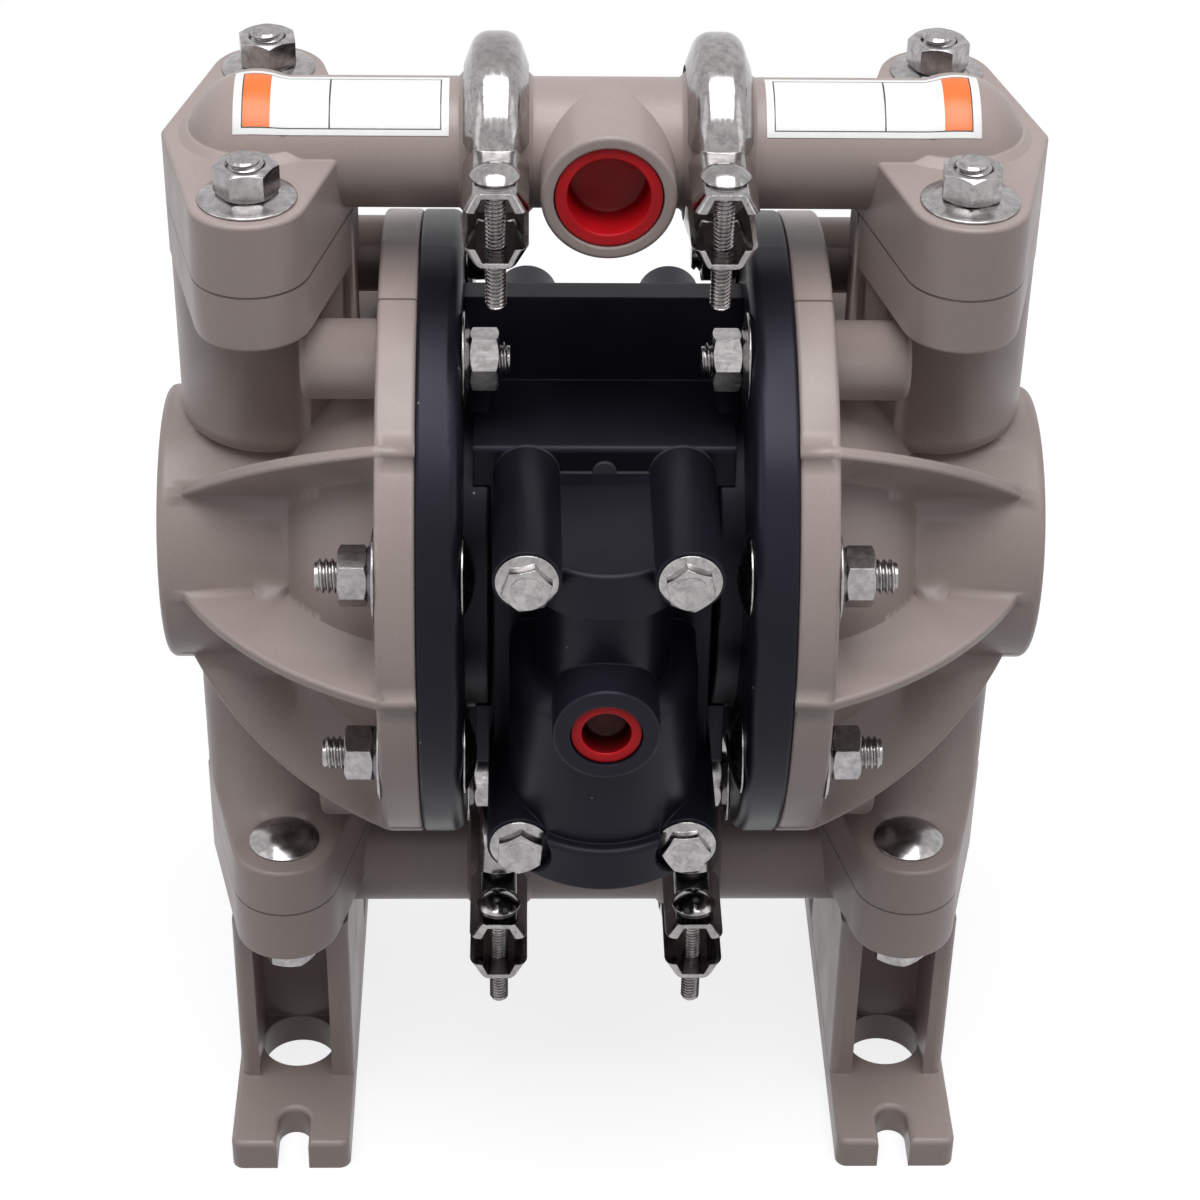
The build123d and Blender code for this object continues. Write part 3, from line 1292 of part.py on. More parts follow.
def save_wet_section():
    save_pair("fluid_cap", fluid_cap())
    save_pair("outlet_elbow", outlet_elbow())
    save_pair("foot_elbow", foot_elbow())
    save("outlet_tee", tee(MANIFOLD_OFFSET, -1))
    save("inlet_tee", tee(-MANIFOLD_OFFSET, 1))
    rings = [manifold_ring(height) for height in (-MANIFOLD_OFFSET, MANIFOLD_OFFSET)]
    save("manifold_rings", *rings, *[mirrored(ring) for ring in rings])
    seats = [valve_seat(joint) for joint in (-PORT_JOINT, PORT_JOINT)]
    save("valve_seats", *seats, *[mirrored(seat) for seat in seats])
    seals = [seat_ring(joint) for joint in (-PORT_JOINT, PORT_JOINT)]
    save("seat_rings", *seals, *[mirrored(seal) for seal in seals])
    save_pair("inlet_ball", ball(-PORT_JOINT))
    save_pair("outlet_ball", ball(PORT_JOINT))
    outlet_face = (0, -TEE_BOSS_REACH, MANIFOLD_OFFSET)
    inlet_face = (0, TEE_BOSS_REACH, -MANIFOLD_OFFSET)
    front = Vector(0, -1, 0)
    wide = (PORT_R, PORT_COUNTERBORE_R, PORT_COUNTERBORE_DEPTH, PLUG_LENGTH)
    save("outlet_plug", port_plug(outlet_face, front, *wide))
    save("inlet_plug", port_plug(inlet_face, -front, *wide))
    narrow = (AIR_PORT_R, AIR_PORT_COUNTERBORE_R, AIR_PORT_COUNTERBORE_DEPTH, AIR_PLUG_LENGTH)
    save("air_plug", port_plug((0, -AIR_BOSS_FACE_Y, AIR_BOSS_Z), front, *narrow))


def save_hardware():
    places = {
        "upper_clamp_left": (-CLAMP_X, MANIFOLD_OFFSET),
        "upper_clamp_right": (CLAMP_X, MANIFOLD_OFFSET),
        "lower_clamp_left": (-CLAMP_X, -MANIFOLD_OFFSET),
        "lower_clamp_right": (CLAMP_X, -MANIFOLD_OFFSET),
    }
    for name, place in places.items():
        save(name, clamp_band(*place))
    save("clamp_bolts", *[clamp_bolt(*place) for place in places.values()])
    save("clamp_nuts", *[clamp_nut(*place) for place in places.values()])
    bolts, nuts, washers = nut_side_bolts()
    studs, stud_nuts, stud_washers = boss_side_studs()
    save("flange_bolts", *bolts)
    save("flange_studs", *studs)
    save("flange_nuts", *nuts, *stud_nuts)
    save("flange_washers", *washers, *stud_washers)
    bolts, nuts, washers = manifold_bolts()
    save("manifold_bolts", *bolts)
    save("manifold_nuts", *nuts)
    save("manifold_washers", *washers)


os.makedirs("parts", exist_ok=True)
save_air_section()
save_rod_section()
save_wet_section()
save_hardware()
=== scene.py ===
import math

import bmesh
import bpy
from mathutils import Matrix, Vector


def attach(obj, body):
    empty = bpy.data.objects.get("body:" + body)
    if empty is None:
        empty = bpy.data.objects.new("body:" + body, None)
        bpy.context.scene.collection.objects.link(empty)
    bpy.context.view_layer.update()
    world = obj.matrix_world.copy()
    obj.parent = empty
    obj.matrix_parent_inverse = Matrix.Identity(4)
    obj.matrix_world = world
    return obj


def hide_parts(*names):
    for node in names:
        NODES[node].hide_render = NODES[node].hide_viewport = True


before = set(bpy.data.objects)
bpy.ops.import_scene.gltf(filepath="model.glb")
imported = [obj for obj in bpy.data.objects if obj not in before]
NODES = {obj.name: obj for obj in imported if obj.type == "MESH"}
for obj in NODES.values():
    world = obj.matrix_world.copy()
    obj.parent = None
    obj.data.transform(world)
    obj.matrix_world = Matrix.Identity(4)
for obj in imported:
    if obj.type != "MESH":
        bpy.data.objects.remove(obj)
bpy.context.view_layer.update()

bl_info = {
    "name": "Diaphragm pump dresser",
    "version": (1, 0, 0),
    "blender": (4, 5, 0),
    "location": "View3D > Sidebar > Pump",
    "description": "Finishes, hardware, stickers and studio for the double diaphragm pump",
    "category": "Object",
}

MM = 0.001
AXIS_HEIGHT = 166.0
SIDES = (-1, 1)
HANDS = {"left": -1, "right": 1}
HOME = "pump_body"

# Sizes that the pieces share with the pump's solids, in millimetres

FLUID_FACE_X = 52.1
AIR_FACE_X = 32.8
BOLT_CIRCLE = 66.0
STUD_END_X = 64.0
TOWER_X = 79.0
EAR_HOLE = (3.5, 4.6)  # nearest and farthest place of a hole's wall from its axis
EAR_HOLE_LOW = 74.6  # height at which the caps' ears begin
PORT_JOINT = 88.3
CAP_EAR = 13.6
FREE_EARS = {1: 17.5, -1: 15.2}
EAR_Y = 33.2
MANIFOLD_Z = 103.3
TUBE_R = 14.85
ELBOW_END_X = 79.0
ELBOW_BALL_R = 16.2
CLAMP_X = 25.0
CLAMP_T = 1.2
CLAMP_FOOT = (7.35, 17.6)
CLAMP_SHOULDER = (4.6, 25.0)
CLAMP_SPLIT = 7.6
EAR_START_Y = 19.6
EAR_END_Y = 43.5
EAR_DROP = 4.6
CLAMP_BOLT_Y = 35.0
CLAMP_EAR_Z = 9.0
CLAMP_BOLT_END = 23.0
WASHER_T = 1.7
NUT_H = 6.8
BLOCK_FACE = 33.7
SCREW_DEPTH = 13.0
UPPER_SCREW = (18.0, 35.5)
LOWER_SCREW = (19.5, -41.3)
FRONT_SEATS = (78.0, 75.5)
REAR_SEATS = (52.0, 52.0)
PORT_FACE = 28.0
AIR_PORT_FACE = 85.0
AIR_PORT_Z = -2.0

# Sizes of the made pieces alone, in millimetres

NUT_TOP = WASHER_T + NUT_H
BOLT_R = 4.0
BOLT_HOLE = 4.1
BURIED_THREAD = 1.5
BOLT_SHOWS = 5.2
STUD_SHOWS = 2.4
MANIFOLD_BOLT_SHOWS = 1.4
LOWER_WASHER_R = 8.8
FLANGE_HEAD = (9.6, 3.2)
MANIFOLD_HEAD = (8.8, 3.6)
CLAMP_HEAD = (5.6, 3.0)
CLAMP_BOLT_R = 2.4
CLAMP_SHANK_R = 2.0
SCREW_R = 3.0
SCREW_HEX = (10.0, 3.0, 0.25)
BAND_FOLD = 4.4
EAR_FOLD = 1.6
EAR_TIP = 3.0
PLUG_LIP_R = 0.3
CUP_LIP_R = 0.5
STICKER_X = 35.5
STICKER_TURNS = (31.0, 98.0)

# How far each fastening is turned at its place round the flange, in degrees
NUT_SIDE_TURNS = {22.5: 12, 157.5: 47, 202.5: 35, 337.5: 21}
BOSS_SIDE_TURNS = {67.5: 8, 112.5: 30, 247.5: 52, 292.5: 17}

# Hole, rim radius, depth of the rim, recess and length of the plugs
LARGE_PLUG = (10.5, 12.3, 2.4, 0.8, 13.0)
AIR_PLUG = (6.85, 8.3, 2.0, 0.8, 9.0)

# Angles between faces above which an edge stays sharp, in degrees
MOULDED_CREASE = 38.0
NUT_CREASE = 24
SHEET_CREASE = 50
STICKER_CREASE = 40

# Span of a slow drift, and depths and radii of the finishes in metres
DRIFT_SPAN = (0.35, 0.65)
GRAIN_DEPTH = 0.0002
STREAK_DEPTH = 0.0001
MOULDED_EDGE = 0.0006
STEEL_EDGE = 0.00025
INNER_EDGE = 0.0003
RIM_REACH = (0.070, 0.0775)

# Printed frame of a sticker, as shares of its length and width
FRAME_OUTSIDE = ((0.035, 0.960), (0.075, 0.925))
FRAME_INSIDE = ((0.041, 0.954), (0.091, 0.909))
DIVIDER = (0.550, 0.558)
BLOCK_START = 0.828

# Camera that fits the photograph: degrees, millimetres for lens and aim, metres for distance
CAMERA_ELEVATION = 34.957
CAMERA_YAW = -1.805
CAMERA_ROLL = 1.11
CAMERA_LENS = 89.57
CAMERA_AIM = (0.578, 0, -23.97)
CAMERA_DISTANCE = 0.753485

SIDE_LIGHT_SHARE = 0.09
FLOOR_REACH = 6.0
FLOOR_DROP = 0.0002

TAN_NODES = (
    "outlet_elbow_left", "outlet_elbow_right",
    "foot_elbow_left", "foot_elbow_right", "outlet_tee", "inlet_tee",
)
BLACK_NODES = ("centre_body", "air_cap_left", "air_cap_right", "valve_housing", "exhaust_housing")
CLAMP_NODES = {
    "upper_clamp_left": (-1, 1), "upper_clamp_right": (1, 1),
    "lower_clamp_left": (-1, -1), "lower_clamp_right": (1, -1),
}
SEAL_NODES = (
    "front_gasket", "rear_gasket", "rod_seals", "manifold_rings", "seat_rings", "spool_plug_ring",
)
DIAPHRAGM_NODES = ("diaphragm_left", "diaphragm_right")
BALL_NODES = ("inlet_ball_left", "inlet_ball_right", "outlet_ball_left", "outlet_ball_right")
BEARING_NODES = (
    "rod_bushing", "pilot_bushings", "spool_sleeve", "spool", "spool_end_plug", "valve_seats",
)
PLATE_NODES = (
    "connecting_rod", "air_washer_left", "air_washer_right", "fluid_washer_left",
    "fluid_washer_right", "diaphragm_screws", "pilot_pin", "air_cap_screws",
)


# Settings that a user would change

class PumpFinishSettings(bpy.types.PropertyGroup):
    """Colours and gloss of the pump's finishes."""

    tan: bpy.props.FloatVectorProperty(
        name="Tan plastic", description="Colour of the moulded wetted pieces",
        subtype="COLOR", size=3, min=0, max=1, default=(0.345, 0.280, 0.262),
    )
    tan_roughness: bpy.props.FloatProperty(
        name="Tan roughness", description="Roughness of the tan plastic",
        subtype="FACTOR", min=0, max=1, default=0.38,
    )
    black: bpy.props.FloatVectorProperty(
        name="Black plastic", description="Colour of the air section",
        subtype="COLOR", size=3, min=0, max=1, default=(0.0070, 0.0068, 0.0105),
    )
    black_roughness: bpy.props.FloatProperty(
        name="Black roughness", description="Roughness of the black plastic",
        subtype="FACTOR", min=0, max=1, default=0.33,
    )
    dust: bpy.props.FloatProperty(
        name="Dust", description="Share of the black plastic's cells that hold a speck of dust",
        subtype="FACTOR", min=0, max=1, default=0.045,
    )
    red: bpy.props.FloatVectorProperty(
        name="Port plugs", description="Colour of the soft port plugs",
        subtype="COLOR", size=3, min=0, max=1, default=(0.56, 0.008, 0.014),
    )
    steel: bpy.props.FloatVectorProperty(
        name="Stainless steel", description="Colour of the bolts, nuts and washers",
        subtype="COLOR", size=3, min=0, max=1, default=(0.40, 0.385, 0.385),
    )
    clamp: bpy.props.FloatVectorProperty(
        name="Clamp steel", description="Colour of the band clamps, their bolts and nuts",
        subtype="COLOR", size=3, min=0, max=1, default=(0.36, 0.345, 0.345),
    )
    steel_roughness: bpy.props.FloatProperty(
        name="Steel roughness", description="Roughness of the bolts, nuts and washers",
        subtype="FACTOR", min=0, max=1, default=0.20,
    )
    clamp_roughness: bpy.props.FloatProperty(
        name="Clamp roughness", description="Roughness of the pressed band clamps",
        subtype="FACTOR", min=0, max=1, default=0.14,
    )


class PumpHardwareSettings(bpy.types.PropertyGroup):
    """Sizes of the hardware that the solids leave plain."""

    bolt_pitch: bpy.props.FloatProperty(
        name="Bolt thread pitch", description="Distance between the threads of the large bolts",
        unit="LENGTH", min=0.0005, default=0.00141,
    )
    clamp_pitch: bpy.props.FloatProperty(
        name="Clamp thread pitch", description="Distance between the threads of the clamp bolts",
        unit="LENGTH", min=0.0004, default=0.00095,
    )
    across_flats: bpy.props.FloatProperty(
        name="Nut across flats", description="Width of the large nuts between opposite flats",
        unit="LENGTH", min=0.008, default=0.0127,
    )
    washer_radius: bpy.props.FloatProperty(
        name="Washer radius", description="Outer radius of the cone washers",
        unit="LENGTH", min=0.006, default=0.011,
    )


class PumpStickerSettings(bpy.types.PropertyGroup):
    """Size and colours of the blank stickers on the outlet elbows."""

    length: bpy.props.FloatProperty(
        name="Sticker length", description="Length of a sticker along the tube",
        unit="LENGTH", min=0.01, default=0.048,
    )
    paper: bpy.props.FloatVectorProperty(
        name="Sticker face", description="Colour of the sticker's face",
        subtype="COLOR", size=3, min=0, max=1, default=(0.80, 0.80, 0.80),
    )
    block: bpy.props.FloatVectorProperty(
        name="Sticker block", description="Colour of the block at the sticker's outer end",
        subtype="COLOR", size=3, min=0, max=1, default=(0.82, 0.17, 0.03),
    )


class PumpStageSettings(bpy.types.PropertyGroup):
    """Floor and light of the studio."""

    floor: bpy.props.FloatVectorProperty(
        name="Floor", description="Colour of the floor as the light falls on it",
        subtype="COLOR", size=3, min=0, max=1, default=(0.28, 0.28, 0.28),
    )
    floor_glow: bpy.props.FloatProperty(
        name="Floor whiteness",
        description="White that the camera and reflections see on the floor as well",
        min=0, max=1, default=0.82,
    )
    fill: bpy.props.FloatProperty(
        name="Fill light", description="Strength of the light from all round",
        min=0, default=0.14,
    )
    key: bpy.props.FloatProperty(
        name="Key light", description="Power of the overhead soft light",
        unit="POWER", min=0, default=16.0,
    )


SETTINGS = {
    "pump_finish": PumpFinishSettings,
    "pump_hardware": PumpHardwareSettings,
    "pump_sticker": PumpStickerSettings,
    "pump_stage": PumpStageSettings,
}


# Places and mesh making

def row(x, y, z):
    """Point in the row frame, in metres, from millimetres about the diaphragm axis."""
    return Vector((x * MM, y * MM, (z + AXIS_HEIGHT) * MM))


def bolt_circle(angle):
    turn = math.radians(angle)
    return -BOLT_CIRCLE * math.cos(turn), BOLT_CIRCLE * math.sin(turn)


def stand(origin, along, turn=0.0):
    """Matrix that stands a piece made along Z on a point, facing along a direction."""
    facing = Vector(along).to_track_quat("Z", "Y").to_matrix().to_4x4()
    return Matrix.Translation(row(*origin)) @ facing @ Matrix.Rotation(math.radians(turn), 4, "Z")


def add_rings(mesh, rings, matrix, closed=False):
    """Skin between rings of points; a ring of one point closes an end."""
    made = [[mesh.verts.new(matrix @ (Vector(point) * MM)) for point in ring] for ring in rings]
    pairs = list(zip(made, made[1:]))
    if closed:
        pairs.append((made[-1], made[0]))
    for low, high in pairs:
        count = max(len(low), len(high))
        for i in range(count):
            j = (i + 1) % count
            corners = [
                low[i % len(low)], low[j % len(low)],
                high[j % len(high)], high[i % len(high)],
            ]
            unique = list(dict.fromkeys(corners))
            if len(unique) > 2:
                mesh.faces.new(unique)
    return made


def circle(radius, height, count):
    if radius == 0:
        return [(0, 0, height)]
    return [
        (radius * math.cos(math.tau * i / count), radius * math.sin(math.tau * i / count), height)
        for i in range(count)
    ]


def add_turned(mesh, profile, matrix, count=48, closed=False):
    """Turned piece from (radius, height) points in millimetres."""
    add_rings(mesh, [circle(radius, height, count) for radius, height in profile], matrix, closed)


def arc(centre, radius, start, end, steps):
    """Points of an arc in a profile, in degrees."""
    turns = [math.radians(start + (end - start) * i / steps) for i in range(steps + 1)]
    return [(centre[0] + radius * math.cos(t), centre[1] + radius * math.sin(t)) for t in turns]


def rounded(points, radii, steps=6):
    """Corner points of a profile with their corners rounded; a radius of 0 keeps a corner."""
    made = []
    for i, (corner, radius) in enumerate(zip(points, radii)):
        here = Vector(corner)
        back = (Vector(points[i - 1]) - here).normalized()
        ahead = (Vector(points[(i + 1) % len(points)]) - here).normalized()
        if radius == 0:
            made.append(tuple(here))
            continue
        half = back.angle(ahead) / 2
        middle = here + (back + ahead).normalized() * (radius / math.sin(half))
        start = here + back * (radius / math.tan(half)) - middle
        end = here + ahead * (radius / math.tan(half)) - middle
        sweep = start.angle_signed(end)
        for k in range(steps + 1):
            turn = -sweep * k / steps
            spoke = Vector((
                start.x * math.cos(turn) - start.y * math.sin(turn),
                start.x * math.sin(turn) + start.y * math.cos(turn),
            ))
            made.append(tuple(middle + spoke))
    return made


def add_sections(mesh, sections, matrix):
    """Closed skin between like sections of points in millimetres, with its ends filled."""
    made = add_rings(mesh, sections, matrix)
    count = len(made[0])
    for end in (made[0], made[-1]):
        half = count // 2
        for i in range(half - 1):
            mesh.faces.new((end[i], end[i + 1], end[count - 2 - i], end[count - 1 - i]))


def add_thread(mesh, radius, pitch, low, high, matrix, count=28):
    """Threaded length: a helical ridge that runs out to its root at both ends."""
    root = radius - 0.58 * pitch
    run_out = 0.9
    ridge = ((0.0, root), (0.14, root), (0.5, radius), (0.64, radius))
    new_points = []

    def point(i, z):
        turn = math.tau * i / count
        z = min(max(z, low), high)
        r = min(reach, root + run_out * (z - low), root + run_out * (high - z))
        spot = Vector((r * math.cos(turn) * MM, r * math.sin(turn) * MM, z * MM))
        new_points.append(mesh.verts.new(matrix @ spot))
        return new_points[-1]

    lines = []
    for whole in range(-1, math.ceil((high - low) / pitch) + 1):
        for part, reach in ridge:
            lines.append([
                point(i, low + pitch * (whole + part + i / count)) for i in range(count + 1)
            ])
    for line, after in zip(lines, lines[1:]):
        for i in range(count):
            mesh.faces.new((line[i], line[i + 1], after[i + 1], after[i]))
    reach = root
    for z in (low, high):
        middle = mesh.verts.new(matrix @ Vector((0, 0, z * MM)))
        rim = [point(i, z) for i in range(count)]
        for i in range(count):
            mesh.faces.new((middle, rim[i], rim[(i + 1) % count]))
    bmesh.ops.remove_doubles(mesh, verts=new_points, dist=1e-6)


def add_hex(mesh, across, height, hole, matrix, both_ends=False, dish=0.0):
    """Hexagon with the rounded corner chamfer of a turned nut or bolt head."""
    count = 72
    face_r = across / 2 * 0.96
    rim_r, dish_r = face_r * 0.82, face_r * 0.74
    slope = math.tan(math.radians(30))
    sixth = math.pi / 3
    turns = [math.tau * i / count for i in range(count)]

    def ring(top):
        points = []
        for turn in turns:
            r = across / 2 / math.cos((turn % sixth) - sixth / 2)
            drop = max(0, r - face_r) * slope
            z = height - drop if top else drop * both_ends
            points.append((r * math.cos(turn), r * math.sin(turn), z))
        return points

    low_face = face_r if both_ends else across / 2
    rings = [circle(hole, 0, count), circle(low_face * 0.99, 0, count)]
    rings += [ring(False), ring(True), circle(face_r, height, count)]
    if hole:
        mouth = hole * 1.12
        rings += [circle(mouth, height, count), circle(hole, height - (mouth - hole), count)]
        add_rings(mesh, rings, matrix, closed=True)
    else:
        rings += [circle(rim_r, height, count), circle(dish_r, height - dish, count)]
        rings.append([(0, 0, height - dish)])
        add_rings(mesh, rings, matrix)


def add_cone_washer(mesh, hole, radius, matrix):
    """Cone washer with a flat rim and a raised middle."""
    profile = [(hole, 0), (radius - 0.3, 0)]
    profile += arc((radius - 0.35, 0.35), 0.35, -70, 80, 4)
    profile += [(radius - 1.2, 0.86), (radius * 0.72, 1.32), (radius * 0.655, WASHER_T - 0.06)]
    profile += [(radius * 0.63, WASHER_T), (hole, WASHER_T)]
    add_turned(mesh, profile, matrix, closed=True)


def add_dome_head(mesh, radius, height, matrix):
    """Low round bolt head with a small edge band."""
    edge = 0.5
    crown = height - edge
    ball = (radius * radius + crown * crown) / (2 * crown)
    half = math.degrees(math.asin(radius / ball))
    profile = [(0, 0), (radius - 0.2, 0), (radius, 0.2), (radius, edge)]
    profile += arc((0, height - ball), ball, 90 - half * 0.985, 90, 10)[:-1] + [(0, height)]
    add_turned(mesh, profile, matrix)


def add_rod(mesh, radius, low, high, matrix, count=28):
    add_turned(mesh, [(0, low), (radius, low), (radius, high), (0, high)], matrix, count)


def hardware_sizes(context):
    """Width of the large nuts, pitch of their threads and radius of their washers."""
    hardware = context.scene.pump_hardware
    return hardware.across_flats / MM, hardware.bolt_pitch / MM, hardware.washer_radius / MM


def add_nut(nuts, washers, across, washer_r, seat):
    """Hexagon nut on a cone washer."""
    add_cone_washer(washers, BOLT_HOLE, washer_r, seat)
    lift = Matrix.Translation((0, 0, WASHER_T * MM))
    add_hex(nuts, across, NUT_H, BOLT_HOLE, seat @ lift, True)


def add_shank(mesh, pitch, back, start, end, seat):
    """Plain shank from behind the seat, and its thread up to the end that shows."""
    add_rod(mesh, BOLT_R, back, start, seat)
    add_thread(mesh, BOLT_R, pitch, start, end, seat)


def finish_mesh(name, mesh, material, smooth_angle=MOULDED_CREASE):
    """Turn the made mesh into one named piece that is smooth but for its creases."""
    bmesh.ops.recalc_face_normals(mesh, faces=mesh.faces)
    data = bpy.data.meshes.new(name)
    mesh.to_mesh(data)
    mesh.free()
    for polygon in data.polygons:
        polygon.use_smooth = True
    data.set_sharp_from_angle(angle=math.radians(smooth_angle))
    data.materials.append(material)
    piece = bpy.data.objects.new(name, data)
    bpy.context.scene.collection.objects.link(piece)
    return piece


def settle(piece, body, slot, *nodes):
    """Hang a piece on its body, in the place of its solids, and hide those solids."""
    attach(piece, body)
    if nodes:
        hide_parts(*nodes)


def settle_set(name, mesh, slot, node, smooth_angle=MOULDED_CREASE):
    """Finish a made mesh as the fixed piece that stands for a node."""
    settle(finish_mesh(name, mesh, material_named(slot), smooth_angle), HOME, slot, node)


def dress(names, material):
    """Give the pump's own solids their material."""
    for name in names:
        slots = NODES[name].data.materials
        slots.clear()
        slots.append(material)
        for polygon in NODES[name].data.polygons:
            polygon.material_index = 0


# Materials

def add_node(tree, kind, inputs=None, **fields):
    """Node with its fields set and its sockets linked or set."""
    made = tree.nodes.new(kind)
    for field, value in fields.items():
        setattr(made, field, value)
    for key, value in (inputs or {}).items():
        if isinstance(value, bpy.types.NodeSocket):
            tree.links.new(value, made.inputs[key])
        else:
            made.inputs[key].default_value = value
    return made


def seen_rays(tree):
    """1 for what the camera, reflections and clear things see, 0 for light."""
    path = add_node(tree, "ShaderNodeLightPath").outputs
    seen = path["Is Camera Ray"]
    for ray in ("Is Glossy Ray", "Is Transmission Ray"):
        either = add_node(tree, "ShaderNodeMath", {0: seen, 1: path[ray]}, operation="MAXIMUM")
        seen = either.outputs[0]
    return seen


class Recipe:
    """A material under construction, with short calls for its nodes."""

    def __init__(self, name):
        self.material = bpy.data.materials.new(f"finish_{name}")
        self.material.use_nodes = True
        self.tree = self.material.node_tree
        self.shader = self.tree.nodes["Principled BSDF"]

    def node(self, kind, inputs=None, **fields):
        return add_node(self.tree, kind, inputs, **fields)

    def place(self):
        return self.node("ShaderNodeTexCoord").outputs["Object"]

    def noise(self, scale, detail=2.0, stretch=None, rough=0.5):
        where = self.place()
        if stretch:
            where = self.node("ShaderNodeMapping", {"Vector": where, "Scale": stretch}).outputs[0]
        inputs = {"Vector": where, "Scale": scale, "Detail": detail, "Roughness": rough}
        return self.node("ShaderNodeTexNoise", inputs).outputs["Fac"]

    def remap(self, value, low, high, to_low, to_high):
        inputs = {
            "Value": value, "From Min": low, "From Max": high, "To Min": to_low, "To Max": to_high,
        }
        return self.node("ShaderNodeMapRange", inputs).outputs["Result"]

    def spread(self, noise, low, high, span=(0.3, 0.7)):
        """Stretch a noise's usual span over two values."""
        return self.remap(noise, *span, low, high)

    def vector(self, operation, a, b):
        return self.node("ShaderNodeVectorMath", {0: a, 1: b}, operation=operation)

    def math(self, operation, *values):
        return self.node("ShaderNodeMath", dict(enumerate(values)), operation=operation).outputs[0]

    def mix(self, factor, a, b, blend="MIX"):
        made = self.node("ShaderNodeMix", {0: factor}, data_type="RGBA", blend_type=blend)
        for socket, value in ((made.inputs[6], a), (made.inputs[7], b)):
            if isinstance(value, bpy.types.NodeSocket):
                self.tree.links.new(value, socket)
            else:
                socket.default_value = (*value, 1)
        return made.outputs[2]

    def edge_normal(self, radius):
        """Normal that rounds the edges of a solid a little."""
        return self.node("ShaderNodeBevel", {"Radius": radius}, samples=4).outputs["Normal"]

    def edge_mask(self, normal):
        """1 on an edge that the rounding turns, 0 on open faces; the mouldings paint their edge
        highlights through it.
        """
        facing = self.node("ShaderNodeNewGeometry").outputs["Normal"]
        dot = self.vector("DOT_PRODUCT", normal, facing)
        return self.remap(dot.outputs["Value"], 0.99, 0.86, 0.0, 1.0)

    def bump(self, height, strength, distance, normal=None):
        inputs = {"Height": height, "Strength": strength, "Distance": distance}
        if normal is not None:
            inputs["Normal"] = normal
        return self.node("ShaderNodeBump", inputs).outputs["Normal"]

    def from_axis(self):
        """Place seen from the rod's axis."""
        return self.vector("SUBTRACT", self.place(), (0, 0, AXIS_HEIGHT * MM)).outputs[0]

    def parting_line(self, angle, near, far, width=0.00032):
        """1 on the mould's parting line across a round rim, at an angle up from the front."""
        turn = math.radians(angle)
        outward = (0, -math.cos(turn), math.sin(turn))
        across = (0, math.sin(turn), math.cos(turn))
        offset = self.from_axis()
        reach, drift = (
            self.vector("DOT_PRODUCT", offset, way).outputs["Value"] for way in (outward, across)
        )
        line = self.math("LESS_THAN", self.math("ABSOLUTE", drift), width)
        return self.math("MULTIPLY", line, self.inside(reach, near, far))

    def inside(self, value, low, high):
        """1 between two values, 0 elsewhere."""
        above = self.math("GREATER_THAN", value, low)
        below = self.math("LESS_THAN", value, high)
        return self.math("MULTIPLY", above, below)

    def joint_line(self, width=0.00028):
        """1 along the joints between the caps' ears and the ears of the elbows and feet."""
        level = self.node("ShaderNodeSeparateXYZ", {0: self.from_axis()}).outputs[2]
        height = self.math("ABSOLUTE", level)
        return self.math("COMPARE", height, PORT_JOINT * MM, width)

    def set(self, **values):
        """Link or set sockets of the shader by name, with _ for a space."""
        for key, value in values.items():
            socket = self.shader.inputs[key.replace("_", " ")]
            if isinstance(value, bpy.types.NodeSocket):
                self.tree.links.new(value, socket)
            elif socket.type == "RGBA":
                socket.default_value = (*value, 1)
            else:
                socket.default_value = value
        return self.material


def scaled(colour, factor):
    return tuple(min(1.0, channel * factor) for channel in colour)


def tan_plastic(finish):
    """Glass-filled moulding: fine grain, slow colour drift and edges painted paler, as painted
    highlight and wear.
    """
    recipe = Recipe("tan_plastic")
    colour = tuple(finish.tan)
    drift = recipe.spread(recipe.noise(14, 3), 0.0, 1.0, DRIFT_SPAN)
    base = recipe.mix(drift, scaled(colour, 0.94), scaled(colour, 1.05))
    grain = recipe.spread(recipe.noise(1500, 2), 0.0, 1.0)
    base = recipe.mix(grain, base, recipe.mix(1.0, base, (0.93, 0.93, 0.94), "MULTIPLY"))
    normal = recipe.edge_normal(MOULDED_EDGE)
    # Painted highlight and wear: the rounded edges are painted paler than the faces.
    base = recipe.mix(recipe.edge_mask(normal), base, scaled(colour, 1.25))
    base = recipe.mix(recipe.parting_line(74.6, *RIM_REACH), base, scaled(colour, 0.35))
    base = recipe.mix(recipe.joint_line(), base, scaled(colour, 0.25))
    gloss = finish.tan_roughness
    rough = recipe.spread(recipe.noise(60, 4), gloss - 0.05, gloss + 0.07)
    bumped = recipe.bump(recipe.noise(900, 3), 0.10, GRAIN_DEPTH, normal)
    return recipe.set(Base_Color=base, Roughness=rough, Normal=bumped, Specular_IOR_Level=0.45)


